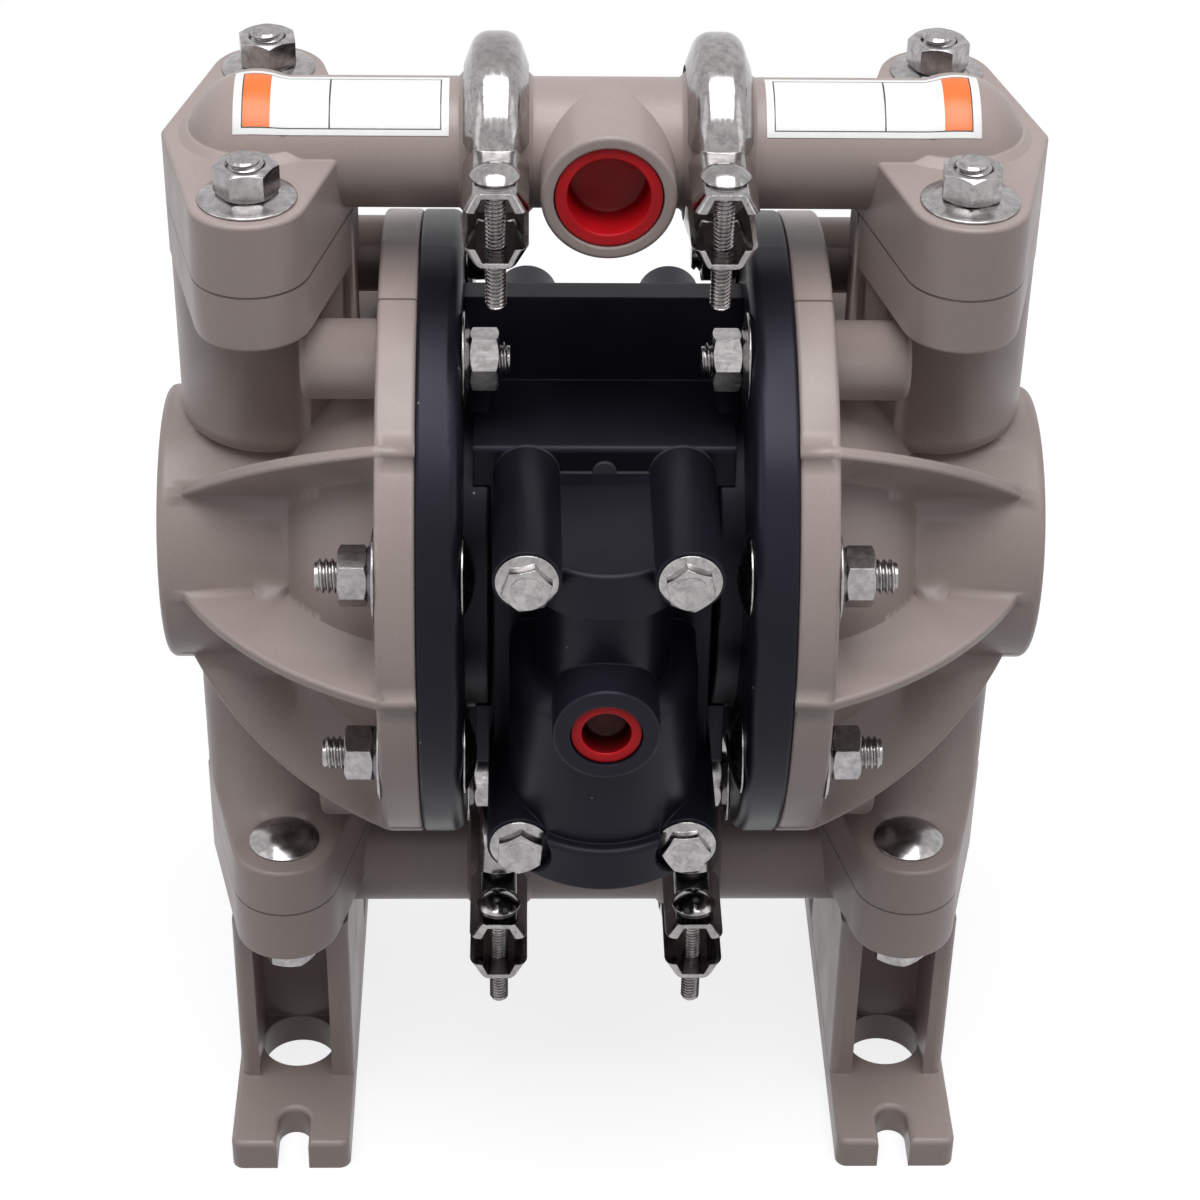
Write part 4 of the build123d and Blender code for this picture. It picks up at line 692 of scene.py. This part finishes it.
def black_plastic(finish):
    """Satin black moulding with a few specks of dust and painted highlights on its edges."""
    recipe = Recipe("black_plastic")
    colour = tuple(finish.black)
    drift = recipe.spread(recipe.noise(25, 3), 0.0, 1.0, DRIFT_SPAN)
    base = recipe.mix(drift, scaled(colour, 0.8), scaled(colour, 1.5))
    inputs = {"Vector": recipe.place(), "Scale": 330.0, "Randomness": 1.0}
    cells = recipe.node("ShaderNodeTexVoronoi", inputs)
    near = recipe.remap(cells.outputs["Distance"], 0.05, 0.12, 1.0, 0.0)
    pick = recipe.node("ShaderNodeSeparateColor", {"Color": cells.outputs["Color"]}).outputs[0]
    chosen = recipe.math("LESS_THAN", pick, finish.dust)
    speck = recipe.math("MULTIPLY", near, chosen)
    base = recipe.mix(speck, base, (0.35, 0.35, 0.36))
    normal = recipe.edge_normal(MOULDED_EDGE)
    # Painted highlight: the rounded edges are painted lighter than the faces.
    base = recipe.mix(recipe.edge_mask(normal), base, scaled(colour, 3.2))
    base = recipe.mix(recipe.parting_line(90.0, *RIM_REACH), base, scaled(colour, 0.15))
    gloss = finish.black_roughness
    rough = recipe.spread(recipe.noise(45, 5), gloss - 0.05, gloss + 0.08)
    bumped = recipe.bump(recipe.noise(700, 3), 0.08, GRAIN_DEPTH, normal)
    return recipe.set(
        Base_Color=base, Roughness=rough, Normal=bumped, Specular_IOR_Level=0.20,
        Specular_Tint=(0.82, 0.80, 1.0),
    )


def bright_steel(name, shade, roughness, streak):
    """Stainless steel with dull stains and fine turning or polishing streaks."""
    recipe = Recipe(name)
    colour = tuple(shade)
    drift = recipe.spread(recipe.noise(120, 3), 0.0, 1.0, DRIFT_SPAN)
    base = recipe.mix(drift, scaled(colour, 0.86), scaled(colour, 1.10))
    stain = recipe.spread(recipe.noise(520, 5, rough=0.65), 0.0, 1.0, (0.42, 0.66))
    base = recipe.mix(stain, base, scaled(colour, 0.66))
    lines = recipe.noise(220, 4, streak)
    rough = recipe.spread(lines, roughness - 0.06, roughness + 0.09)
    bumped = recipe.bump(lines, 0.05, STREAK_DEPTH, recipe.edge_normal(STEEL_EDGE))
    return recipe.set(Base_Color=base, Metallic=1.0, Roughness=rough, Normal=bumped)


def red_plastic(finish):
    """Soft red plug plastic with faint flow marks, and painted shade that turns it deep red inside
    the cups.
    """
    recipe = Recipe("red_plastic")
    colour = tuple(finish.red)
    flow = recipe.spread(recipe.noise(90, 3), 0.0, 1.0)
    base = recipe.mix(flow, scaled(colour, 0.85), scaled(colour, 1.12))
    # Painted shade: ambient occlusion darkens the red to near-black deep inside the cups.
    shade_occlusion = recipe.node("ShaderNodeAmbientOcclusion", {"Distance": 0.012}, samples=8)
    unshaded_share = recipe.remap(shade_occlusion.outputs["AO"], 0.42, 0.74, 0.0, 1.0)
    base = recipe.mix(unshaded_share, scaled(colour, 0.05), base)
    rough = recipe.spread(recipe.noise(160, 3), 0.30, 0.44)
    bumped = recipe.bump(recipe.noise(500, 3), 0.10, GRAIN_DEPTH)
    return recipe.set(Base_Color=base, Roughness=rough, Normal=bumped, Specular_IOR_Level=0.20)


def plain_family(name, colour, roughness, grain_scale, grain_depth, metallic=0.0):
    """Finish of an inner piece: grain, slow drift and a little roughness change."""
    recipe = Recipe(name)
    drift = recipe.spread(recipe.noise(60, 3), 0.0, 1.0)
    base = recipe.mix(drift, scaled(colour, 0.85), scaled(colour, 1.15))
    rough = recipe.spread(recipe.noise(140, 4), roughness - 0.05, roughness + 0.08)
    normal = recipe.edge_normal(INNER_EDGE)
    bumped = recipe.bump(recipe.noise(grain_scale, 3), grain_depth, GRAIN_DEPTH, normal)
    return recipe.set(Base_Color=base, Roughness=rough, Normal=bumped, Metallic=metallic)


def sticker_face(name, sticker, block_first):
    """Blank sticker: pale face, thin dark frame, a dividing line and a coloured end block."""
    recipe = Recipe(name)
    where = recipe.node("ShaderNodeUVMap", uv_map="sticker").outputs[0]
    parts = recipe.node("ShaderNodeSeparateXYZ", {0: where})
    along, across = parts.outputs[0], parts.outputs[1]
    if block_first:
        along = recipe.math("SUBTRACT", 1.0, along)

    def field(long_span, wide_span):
        """1 inside a rectangle of the sticker."""
        within = recipe.inside(along, *long_span), recipe.inside(across, *wide_span)
        return recipe.math("MULTIPLY", *within)

    fibre = recipe.spread(recipe.noise(700, 3), 0.0, 1.0)
    paper = tuple(sticker.paper)
    base = recipe.mix(fibre, scaled(paper, 0.96), scaled(paper, 1.02))
    framed = field(*FRAME_OUTSIDE)
    line = recipe.math("SUBTRACT", framed, field(*FRAME_INSIDE))
    divider = recipe.math("MULTIPLY", recipe.inside(along, *DIVIDER), framed)
    dark = recipe.math("MAXIMUM", line, divider)
    long_span, wide_span = FRAME_INSIDE
    block = field((BLOCK_START, long_span[1]), wide_span)
    base = recipe.mix(block, base, tuple(sticker.block))
    base = recipe.mix(dark, base, (0.02, 0.02, 0.02))
    bumped = recipe.bump(recipe.noise(300, 2), 0.04, GRAIN_DEPTH)
    rough = recipe.spread(recipe.noise(80, 2), 0.28, 0.38)
    return recipe.set(Base_Color=base, Roughness=rough, Normal=bumped)


def material_named(name):
    return bpy.data.materials[f"finish_{name}"]


# Operators

class PUMP_OT_finishes(bpy.types.Operator):
    """Mix the finishes of the pump's plastics, steels, rubbers and stickers"""

    bl_idname = "pump.finishes"
    bl_label = "Mix finishes"

    def execute(self, context):
        finish = context.scene.pump_finish
        tan_plastic(finish)
        black_plastic(finish)
        bright_steel("bright_steel", finish.steel, finish.steel_roughness, (1, 1, 9))
        bright_steel("clamp_steel", finish.clamp, finish.clamp_roughness, (9, 1, 1))
        red_plastic(finish)
        plain_family("seal_rubber", (0.035, 0.036, 0.040), 0.55, 1200, 0.12)
        plain_family("diaphragm_rubber", (0.12, 0.10, 0.08), 0.62, 900, 0.2)
        plain_family("white_plastic", (0.80, 0.80, 0.78), 0.35, 600, 0.05)
        plain_family("bearing_plastic", (0.66, 0.64, 0.57), 0.42, 900, 0.06)
        plain_family("plated_steel", (0.50, 0.50, 0.50), 0.30, 400, 0.05, 1.0)
        sticker = context.scene.pump_sticker
        sticker_face("sticker_left_face", sticker, True)
        sticker_face("sticker_right_face", sticker, False)
        return {"FINISHED"}


class PUMP_OT_mouldings(bpy.types.Operator):
    """Finish the tan elbows, feet and tees, and the black air section"""

    bl_idname = "pump.mouldings"
    bl_label = "Finish mouldings"

    def execute(self, context):
        dress(TAN_NODES, material_named("tan_plastic"))
        dress(BLACK_NODES, material_named("black_plastic"))
        return {"FINISHED"}


class PUMP_OT_fluid_caps(bpy.types.Operator):
    """Make the fluid caps, whose bolt holes end at their ears"""

    bl_idname = "pump.fluid_caps"
    bl_label = "Make fluid caps"

    def execute(self, context):
        for hand, side in HANDS.items():
            node = f"fluid_cap_{hand}"
            mesh = bmesh.new()
            mesh.from_mesh(NODES[node].data)
            bmesh.ops.remove_doubles(mesh, verts=mesh.verts, dist=1e-6)
            walls = [face for face in mesh.faces if self.in_rib_hole(face, side)]
            bmesh.ops.delete(mesh, geom=walls, context="FACES")
            rims = [edge for edge in mesh.edges if edge.is_boundary]
            filled = bmesh.ops.holes_fill(mesh, edges=rims, sides=0)["faces"]
            self.even_out(mesh, bmesh.ops.triangulate(mesh, faces=filled)["faces"])
            settle_set(f"{node}_moulding", mesh, "tan_plastic", node)
        return {"FINISHED"}

    def even_out(self, mesh, patches):
        """Split the filled patches and relax them, so that they run into the ribs."""
        patches = set(patches)
        passes = 12
        inner = [edge for edge in mesh.edges if all(face in patches for face in edge.link_faces)]
        cut = bmesh.ops.subdivide_edges(mesh, edges=inner, cuts=2, use_grid_fill=True)
        loose = [part for part in cut["geom_inner"] if isinstance(part, bmesh.types.BMVert)]
        for _ in range(passes):
            bmesh.ops.smooth_vert(
                mesh, verts=loose, factor=0.5, use_axis_x=True, use_axis_y=True, use_axis_z=True,
            )

    def in_rib_hole(self, face, side):
        """Whether a face is the wall of a bolt hole beyond the ears."""
        nearest, farthest = EAR_HOLE
        for vertex in face.verts:
            x, y, z = (value / MM for value in vertex.co)
            away = math.hypot(x - side * TOWER_X, abs(y) - EAR_Y)
            if not nearest < away < farthest or abs(z - AXIS_HEIGHT) > EAR_HOLE_LOW:
                return False
        return True


class PUMP_OT_inner_pieces(bpy.types.Operator):
    """Finish the rod, diaphragms, valves and seals inside the pump"""

    bl_idname = "pump.inner_pieces"
    bl_label = "Finish inner pieces"

    def execute(self, context):
        dress(SEAL_NODES, material_named("seal_rubber"))
        dress(DIAPHRAGM_NODES, material_named("diaphragm_rubber"))
        dress(BALL_NODES, material_named("white_plastic"))
        dress(BEARING_NODES, material_named("bearing_plastic"))
        dress(PLATE_NODES, material_named("plated_steel"))
        return {"FINISHED"}


class PUMP_OT_flange_hardware(bpy.types.Operator):
    """Make the bolts, studs, nuts and cone washers round the fluid caps"""

    bl_idname = "pump.flange_hardware"
    bl_label = "Make flange hardware"

    def execute(self, context):
        across, pitch, washer_r = hardware_sizes(context)
        bolts, studs, nuts, washers = (bmesh.new() for _ in range(4))
        start = NUT_TOP - BURIED_THREAD
        kinds = (
            (NUT_SIDE_TURNS, 1, FLUID_FACE_X, AIR_FACE_X - FLUID_FACE_X, bolts, BOLT_SHOWS),
            (BOSS_SIDE_TURNS, -1, AIR_FACE_X, AIR_FACE_X - STUD_END_X, studs, STUD_SHOWS),
        )
        for side in SIDES:
            for turns, facing, face_x, back, mesh, shows in kinds:
                for angle, turn in turns.items():
                    y, z = bolt_circle(angle)
                    seat = stand((side * face_x, y, z), (side * facing, 0, 0), turn * side)
                    add_nut(nuts, washers, across, washer_r, seat)
                    add_shank(mesh, pitch, back, start, NUT_TOP + shows, seat)
                    if mesh is bolts:
                        head = stand((side * AIR_FACE_X, y, z), (-side, 0, 0))
                        add_dome_head(bolts, *FLANGE_HEAD, head)
        settle_set("flange_bolt_set", bolts, "bright_steel", "flange_bolts")
        settle_set("flange_stud_set", studs, "bright_steel", "flange_studs")
        settle_set("flange_nut_set", nuts, "bright_steel", "flange_nuts", NUT_CREASE)
        settle_set("flange_washer_set", washers, "bright_steel", "flange_washers")
        return {"FINISHED"}


class PUMP_OT_manifold_hardware(bpy.types.Operator):
    """Make the upright bolts, nuts and washers of the elbows and feet"""

    bl_idname = "pump.manifold_hardware"
    bl_label = "Make manifold hardware"

    def execute(self, context):
        across, pitch, washer_r = hardware_sizes(context)
        bolts, nuts, washers = (bmesh.new() for _ in range(3))
        rims = {1: washer_r, -1: LOWER_WASHER_R}
        turns = (5, 38, 24, 50)
        for level in SIDES:
            places = [(x, y) for x in (-TOWER_X, TOWER_X) for y in (-EAR_Y, EAR_Y)]
            for (x, y), turn in zip(places, turns):
                seat = stand((x, y, level * (PORT_JOINT + FREE_EARS[level])), (0, 0, level), turn)
                add_nut(nuts, washers, across, rims[level], seat)
                back = -FREE_EARS[level] - CAP_EAR
                end = NUT_TOP + MANIFOLD_BOLT_SHOWS
                add_shank(bolts, pitch, back, WASHER_T + 1, end, seat)
                head = stand((x, y, level * (PORT_JOINT - CAP_EAR)), (0, 0, -level))
                add_dome_head(bolts, *MANIFOLD_HEAD, head)
        settle_set("manifold_bolt_set", bolts, "bright_steel", "manifold_bolts")
        settle_set("manifold_nut_set", nuts, "bright_steel", "manifold_nuts", NUT_CREASE)
        settle_set("manifold_washer_set", washers, "bright_steel", "manifold_washers")
        return {"FINISHED"}


class PUMP_OT_housing_screws(bpy.types.Operator):
    """Make the flanged hexagon screws of the valve and exhaust housings"""

    bl_idname = "pump.housing_screws"
    bl_label = "Make housing screws"

    def execute(self, context):
        across, height, dish = SCREW_HEX
        sets = (
            ("valve_screw_set", "valve_housing_screws", -1, FRONT_SEATS),
            ("exhaust_screw_set", "exhaust_housing_screws", 1, REAR_SEATS),
        )
        turns = iter((12, 40, 27, 3, 20, 50, 33, 8))
        for name, node, side, seats in sets:
            screws = bmesh.new()
            for (x, z), seat_y in zip((UPPER_SCREW, LOWER_SCREW), seats):
                for hand in SIDES:
                    seat = stand((hand * x, side * seat_y, z), (0, side, 0), next(turns))
                    flange = [(0, 0), (6.9, 0)] + arc((6.75, 0.35), 0.35, -60, 60, 4)
                    flange += [(6.5, 0.85), (5.2, 1.45), (0, 1.45)]
                    add_turned(screws, flange, seat)
                    lift = Matrix.Translation((0, 0, 1.2 * MM))
                    add_hex(screws, across, height, 0, seat @ lift, False, dish)
                    add_rod(screws, SCREW_R, BLOCK_FACE - SCREW_DEPTH - seat_y, 0.2, seat)
            settle_set(name, screws, "bright_steel", node, NUT_CREASE)
        return {"FINISHED"}


class PUMP_OT_clamps(bpy.types.Operator):
    """Make the band clamps with their threaded bolts and round nuts"""

    bl_idname = "pump.clamps"
    bl_label = "Make clamps"

    def execute(self, context):
        hardware = context.scene.pump_hardware
        for node, (side, level) in CLAMP_NODES.items():
            mesh = bmesh.new()
            place = Matrix.Translation(row(side * CLAMP_X, 0, level * MANIFOLD_Z))
            self.band(mesh, place)
            for hand in SIDES:
                self.ear(mesh, place, hand)
            settle_set(f"{node}_band", mesh, "clamp_steel", node, SHEET_CREASE)
        pitch = hardware.clamp_pitch / MM
        bolts, nuts = bmesh.new(), bmesh.new()
        collar = [(2.5, 0), (3.3, 0), (3.6, 0.3), (3.6, 1.6), (3.2, 2.0), (2.7, 2.0), (2.5, 1.8)]
        for x in (-CLAMP_X, CLAMP_X):
            for level in SIDES:
                height = level * MANIFOLD_Z
                head = stand((x, -CLAMP_BOLT_Y, height + CLAMP_EAR_Z), (0, 0, 1))
                add_dome_head(bolts, *CLAMP_HEAD, head)
                add_rod(bolts, CLAMP_SHANK_R, -CLAMP_EAR_Z, 0.1, head)
                foot = stand((x, -CLAMP_BOLT_Y, height + CLAMP_EAR_Z), (0, 0, -1))
                end = CLAMP_EAR_Z + CLAMP_BOLT_END
                add_thread(bolts, CLAMP_BOLT_R, pitch, 1.0, end, foot, 24)
                nut = stand((x, -CLAMP_BOLT_Y, height - CLAMP_EAR_Z), (0, 0, -1))
                add_turned(nuts, collar, nut, closed=True)
        settle_set("clamp_bolt_set", bolts, "clamp_steel", "clamp_bolts")
        settle_set("clamp_nut_set", nuts, "clamp_steel", "clamp_nuts", NUT_CREASE)
        return {"FINISHED"}

    def sheet(self, foot, shoulder, fold, drop_out):
        """Half-open V section of bent sheet, from foot to foot outside and back inside."""
        (foot_x, foot_r), (flat_x, flat_r) = foot, shoulder
        outside = [(-foot_x, foot_r), (-flat_x, flat_r), (flat_x, flat_r), (foot_x, foot_r)]
        inside = [(foot_x - drop_out, foot_r), (flat_x - CLAMP_T / 2, flat_r - CLAMP_T)]
        inside += [(-x, r) for x, r in reversed(inside)]
        inner_fold = max(0.4, fold - CLAMP_T)
        return rounded(outside + inside, (0, fold, fold, 0, 0, inner_fold, inner_fold, 0))

    def band(self, mesh, place):
        """Rounded V band round the tube, split at the front."""
        section = self.sheet(CLAMP_FOOT, CLAMP_SHOULDER, BAND_FOLD, CLAMP_T / 2)
        steps = 72
        sections = []
        for k in range(steps + 1):
            points = []
            for x, r in section:
                end = math.asin(CLAMP_SPLIT / r)
                turn = end + (math.tau - 2 * end) * k / steps
                points.append((x, -r * math.cos(turn), r * math.sin(turn)))
            sections.append(points)
        add_sections(mesh, sections, place)

    def ear(self, mesh, place, hand):
        """Channel-shaped ear with folded edges and a rounded tip."""
        foot = (CLAMP_FOOT[0], CLAMP_EAR_Z - EAR_DROP)
        section = self.sheet(foot, (CLAMP_SHOULDER[0], CLAMP_EAR_Z), EAR_FOLD, CLAMP_T)
        reaches = [EAR_START_Y, 24.0, 30.0, 36.0]
        for turn in range(0, 91, 15):
            reaches.append(EAR_END_Y - EAR_TIP + EAR_TIP * math.sin(math.radians(turn)))
        sections = []
        for reach in reaches:
            into_tip = max(0, reach - EAR_END_Y + EAR_TIP)
            narrow = EAR_TIP - math.sqrt(max(0, EAR_TIP ** 2 - into_tip ** 2))
            width = (CLAMP_FOOT[0] - narrow * 0.75) / CLAMP_FOOT[0]
            sections.append([(x * width, -reach, hand * z) for x, z in section])
        add_sections(mesh, sections, place)


class PUMP_OT_port_plugs(bpy.types.Operator):
    """Make the soft red plugs of the three ports"""

    bl_idname = "pump.port_plugs"
    bl_label = "Make port plugs"

    def execute(self, context):
        sizes = (
            ("outlet_port_plug", "outlet_plug", (0, -PORT_FACE, MANIFOLD_Z), -1, LARGE_PLUG),
            ("inlet_port_plug", "inlet_plug", (0, PORT_FACE, -MANIFOLD_Z), 1, LARGE_PLUG),
            ("air_port_plug", "air_plug", (0, -AIR_PORT_FACE, AIR_PORT_Z), -1, AIR_PLUG),
        )
        play, wall, chamfer = 0.15, 1.1, 0.8
        for name, node, origin, facing, (hole, rim, low, recess, length) in sizes:
            body = hole - play
            edge = rim - play
            cup = body - wall
            lip = -PLUG_LIP_R - recess
            profile = [(0, -length), (body - chamfer, -length), (body, chamfer - length)]
            profile += [(body, -low), (edge, -low), (edge, lip)]
            profile += arc((edge - PLUG_LIP_R, lip), PLUG_LIP_R, 0, 90, 4)
            profile += arc((cup + CUP_LIP_R, -recess - CUP_LIP_R), CUP_LIP_R, 90, 180, 5)
            profile += [(cup - 0.25, 2.3 - length), (cup - wall, 1.5 - length), (0, 1.5 - length)]
            mesh = bmesh.new()
            add_turned(mesh, profile, stand(origin, (0, facing, 0)), 72)
            piece = finish_mesh(name, mesh, material_named("red_plastic"), SHEET_CREASE)
            settle(piece, node, "red_plastic", node)
        return {"FINISHED"}


class PUMP_OT_stickers(bpy.types.Operator):
    """Lay a blank sticker round each outlet elbow tube"""

    bl_idname = "pump.stickers"
    bl_label = "Lay stickers"

    def execute(self, context):
        sticker = context.scene.pump_sticker
        for hand, side in HANDS.items():
            mesh = self.patch(side, sticker.length / MM)
            face = material_named(f"sticker_{hand}_face")
            piece = finish_mesh(f"sticker_{hand}", mesh, face, STICKER_CREASE)
            settle(piece, HOME, "white_plastic")
        return {"FINISHED"}

    def patch(self, side, length):
        """Thin curved sheet on the tube, from low at the front to past its top."""
        low, high = STICKER_TURNS
        columns, rows = 24, 20
        mesh = bmesh.new()
        uv = mesh.loops.layers.uv.new("sticker")
        layers = []
        for lift in (0.05, 0.16):
            grid = []
            for i in range(columns + 1):
                x = side * (STICKER_X + length * i / columns)
                from_ball = abs(x) - ELBOW_END_X
                ball = math.sqrt(max(0, ELBOW_BALL_R ** 2 - from_ball ** 2))
                carrier = max(TUBE_R, ball)
                line = []
                for j in range(rows + 1):
                    turn = math.radians(low + (high - low) * j / rows)
                    r = carrier + lift
                    spot = row(x, -r * math.cos(turn), MANIFOLD_Z + r * math.sin(turn))
                    line.append(mesh.verts.new(spot))
                grid.append(line)
            layers.append(grid)
        for grid in layers:
            for i in range(columns):
                for j in range(rows):
                    spots = ((i, j), (i + 1, j), (i + 1, j + 1), (i, j + 1))
                    face = mesh.faces.new([grid[a][b] for a, b in spots])
                    for loop, (a, b) in zip(face.loops, spots):
                        along = a / columns if side > 0 else 1 - a / columns
                        loop[uv].uv = (along, b / rows)
        under, over = layers
        border = [(i, 0) for i in range(columns)] + [(columns, j) for j in range(rows)]
        border += [(i, rows) for i in range(columns, 0, -1)] + [(0, j) for j in range(rows, 0, -1)]
        for (i, j), (k, m) in zip(border, border[1:] + border[:1]):
            mesh.faces.new((under[i][j], under[k][m], over[k][m], over[i][j]))
        return mesh


class PUMP_OT_stage(bpy.types.Operator):
    """Make the floor, the soft lights and the camera at the photographed angle"""

    bl_idname = "pump.stage"
    bl_label = "Make stage"

    def execute(self, context):
        stage = context.scene.pump_stage
        self.floor(context, stage)
        self.world(context, stage)
        self.lights(context, stage)
        self.camera(context)
        context.scene.view_settings.view_transform = "Standard"
        return {"FINISHED"}

    def floor(self, context, stage):
        """Pale speckled floor that keeps the pump's shadow, white to camera and reflections."""
        recipe = Recipe("stage_floor")
        speckle = recipe.spread(recipe.noise(30, 3), 0.0, 1.0)
        colour = tuple(stage.floor)
        base = recipe.mix(speckle, scaled(colour, 0.985), colour)
        glow = recipe.math("MULTIPLY", seen_rays(recipe.tree), stage.floor_glow)
        material = recipe.set(
            Base_Color=base, Roughness=0.7, Specular_IOR_Level=0.1,
            Emission_Color=(1, 1, 1), Emission_Strength=glow,
        )
        mesh = bmesh.new()
        corners = ((-1, -1, 0), (1, -1, 0), (1, 1, 0), (-1, 1, 0))
        mesh.faces.new([mesh.verts.new(Vector(corner) * FLOOR_REACH) for corner in corners])
        floor = finish_mesh("stage_floor", mesh, material)
        floor.location.z = -FLOOR_DROP

    def world(self, context, stage):
        """White behind the pump and in its reflections, softer as light."""
        world = bpy.data.worlds.new("studio")
        context.scene.world = world
        world.use_nodes = True
        tree = world.node_tree
        tree.nodes.clear()
        shades = {(0.97, 0.98, 1.0, 1): stage.fill, (1, 1, 1, 1): 1.0}
        soft, white = (
            add_node(tree, "ShaderNodeBackground", {0: shade, 1: strength}).outputs[0]
            for shade, strength in shades.items()
        )
        blend = add_node(tree, "ShaderNodeMixShader", {0: seen_rays(tree), 1: soft, 2: white})
        add_node(tree, "ShaderNodeOutputWorld", {"Surface": blend.outputs[0]})

    def lights(self, context, stage):
        """Large overhead softbox with two strip lights at the sides."""
        aim = Vector((0, 0, 0.16))
        side_power = stage.key * SIDE_LIGHT_SHARE
        lamps = (
            ("light_top", (0.0, -0.30, 1.32), 1.1, 0.9, stage.key),
            ("light_left", (-1.0, -0.30, 0.60), 0.5, 1.1, side_power),
            ("light_right", (1.0, -0.30, 0.60), 0.5, 1.1, side_power),
        )
        for name, place, width, height, power in lamps:
            data = bpy.data.lights.new(name, "AREA")
            data.shape = "RECTANGLE"
            data.size = width
            data.size_y = height
            data.energy = power
            lamp = bpy.data.objects.new(name, data)
            context.scene.collection.objects.link(lamp)
            lamp.location = place
            lamp.rotation_euler = (Vector(place) - aim).to_track_quat("Z", "Y").to_euler()

    def camera(self, context):
        """Camera placed by measuring the photograph's known edges."""
        elevation = math.radians(CAMERA_ELEVATION)
        yaw = math.radians(CAMERA_YAW)
        roll = math.radians(CAMERA_ROLL)
        flat = math.cos(elevation)
        back = Vector((math.sin(yaw) * flat, -math.cos(yaw) * flat, math.sin(elevation)))
        level = Vector((math.cos(yaw), math.sin(yaw), 0))
        upright = back.cross(level)
        right = math.cos(roll) * level + math.sin(roll) * upright
        up = -math.sin(roll) * level + math.cos(roll) * upright
        data = bpy.data.cameras.new("photo_camera")
        data.sensor_width = 36.0
        data.lens = CAMERA_LENS
        data.clip_start = 0.01
        camera = bpy.data.objects.new("photo_camera", data)
        context.scene.collection.objects.link(camera)
        turned = Matrix((right, up, back)).transposed().to_4x4()
        place = row(*CAMERA_AIM) + CAMERA_DISTANCE * back
        camera.matrix_world = Matrix.Translation(place) @ turned
        context.scene.camera = camera


class PUMP_PT_panel(bpy.types.Panel):
    """Steps and settings of the pump"""

    bl_idname = "PUMP_PT_panel"
    bl_label = "Pump"
    bl_space_type = "VIEW_3D"
    bl_region_type = "UI"
    bl_category = "Pump"

    def draw(self, context):
        for operator in OPERATORS:
            self.layout.operator(operator.bl_idname)
        for name, group in SETTINGS.items():
            box = self.layout.box()
            for field in group.__annotations__:
                box.prop(getattr(context.scene, name), field)


OPERATORS = (
    PUMP_OT_finishes,
    PUMP_OT_mouldings,
    PUMP_OT_fluid_caps,
    PUMP_OT_inner_pieces,
    PUMP_OT_flange_hardware,
    PUMP_OT_manifold_hardware,
    PUMP_OT_housing_screws,
    PUMP_OT_clamps,
    PUMP_OT_port_plugs,
    PUMP_OT_stickers,
    PUMP_OT_stage,
)


def register():
    for group in SETTINGS.values():
        bpy.utils.register_class(group)
    for name, group in SETTINGS.items():
        setattr(bpy.types.Scene, name, bpy.props.PointerProperty(type=group))
    for operator in OPERATORS:
        bpy.utils.register_class(operator)
    bpy.utils.register_class(PUMP_PT_panel)


def unregister():
    bpy.utils.unregister_class(PUMP_PT_panel)
    for operator in reversed(OPERATORS):
        bpy.utils.unregister_class(operator)
    for name in SETTINGS:
        delattr(bpy.types.Scene, name)
    for group in SETTINGS.values():
        bpy.utils.unregister_class(group)


def main():
    register()
    bpy.ops.pump.finishes()
    bpy.ops.pump.mouldings()
    bpy.ops.pump.fluid_caps()
    bpy.ops.pump.inner_pieces()
    bpy.ops.pump.flange_hardware()
    bpy.ops.pump.manifold_hardware()
    bpy.ops.pump.housing_screws()
    bpy.ops.pump.clamps()
    bpy.ops.pump.port_plugs()
    bpy.ops.pump.stickers()
    bpy.ops.pump.stage()


if __name__ == "__main__":
    main()
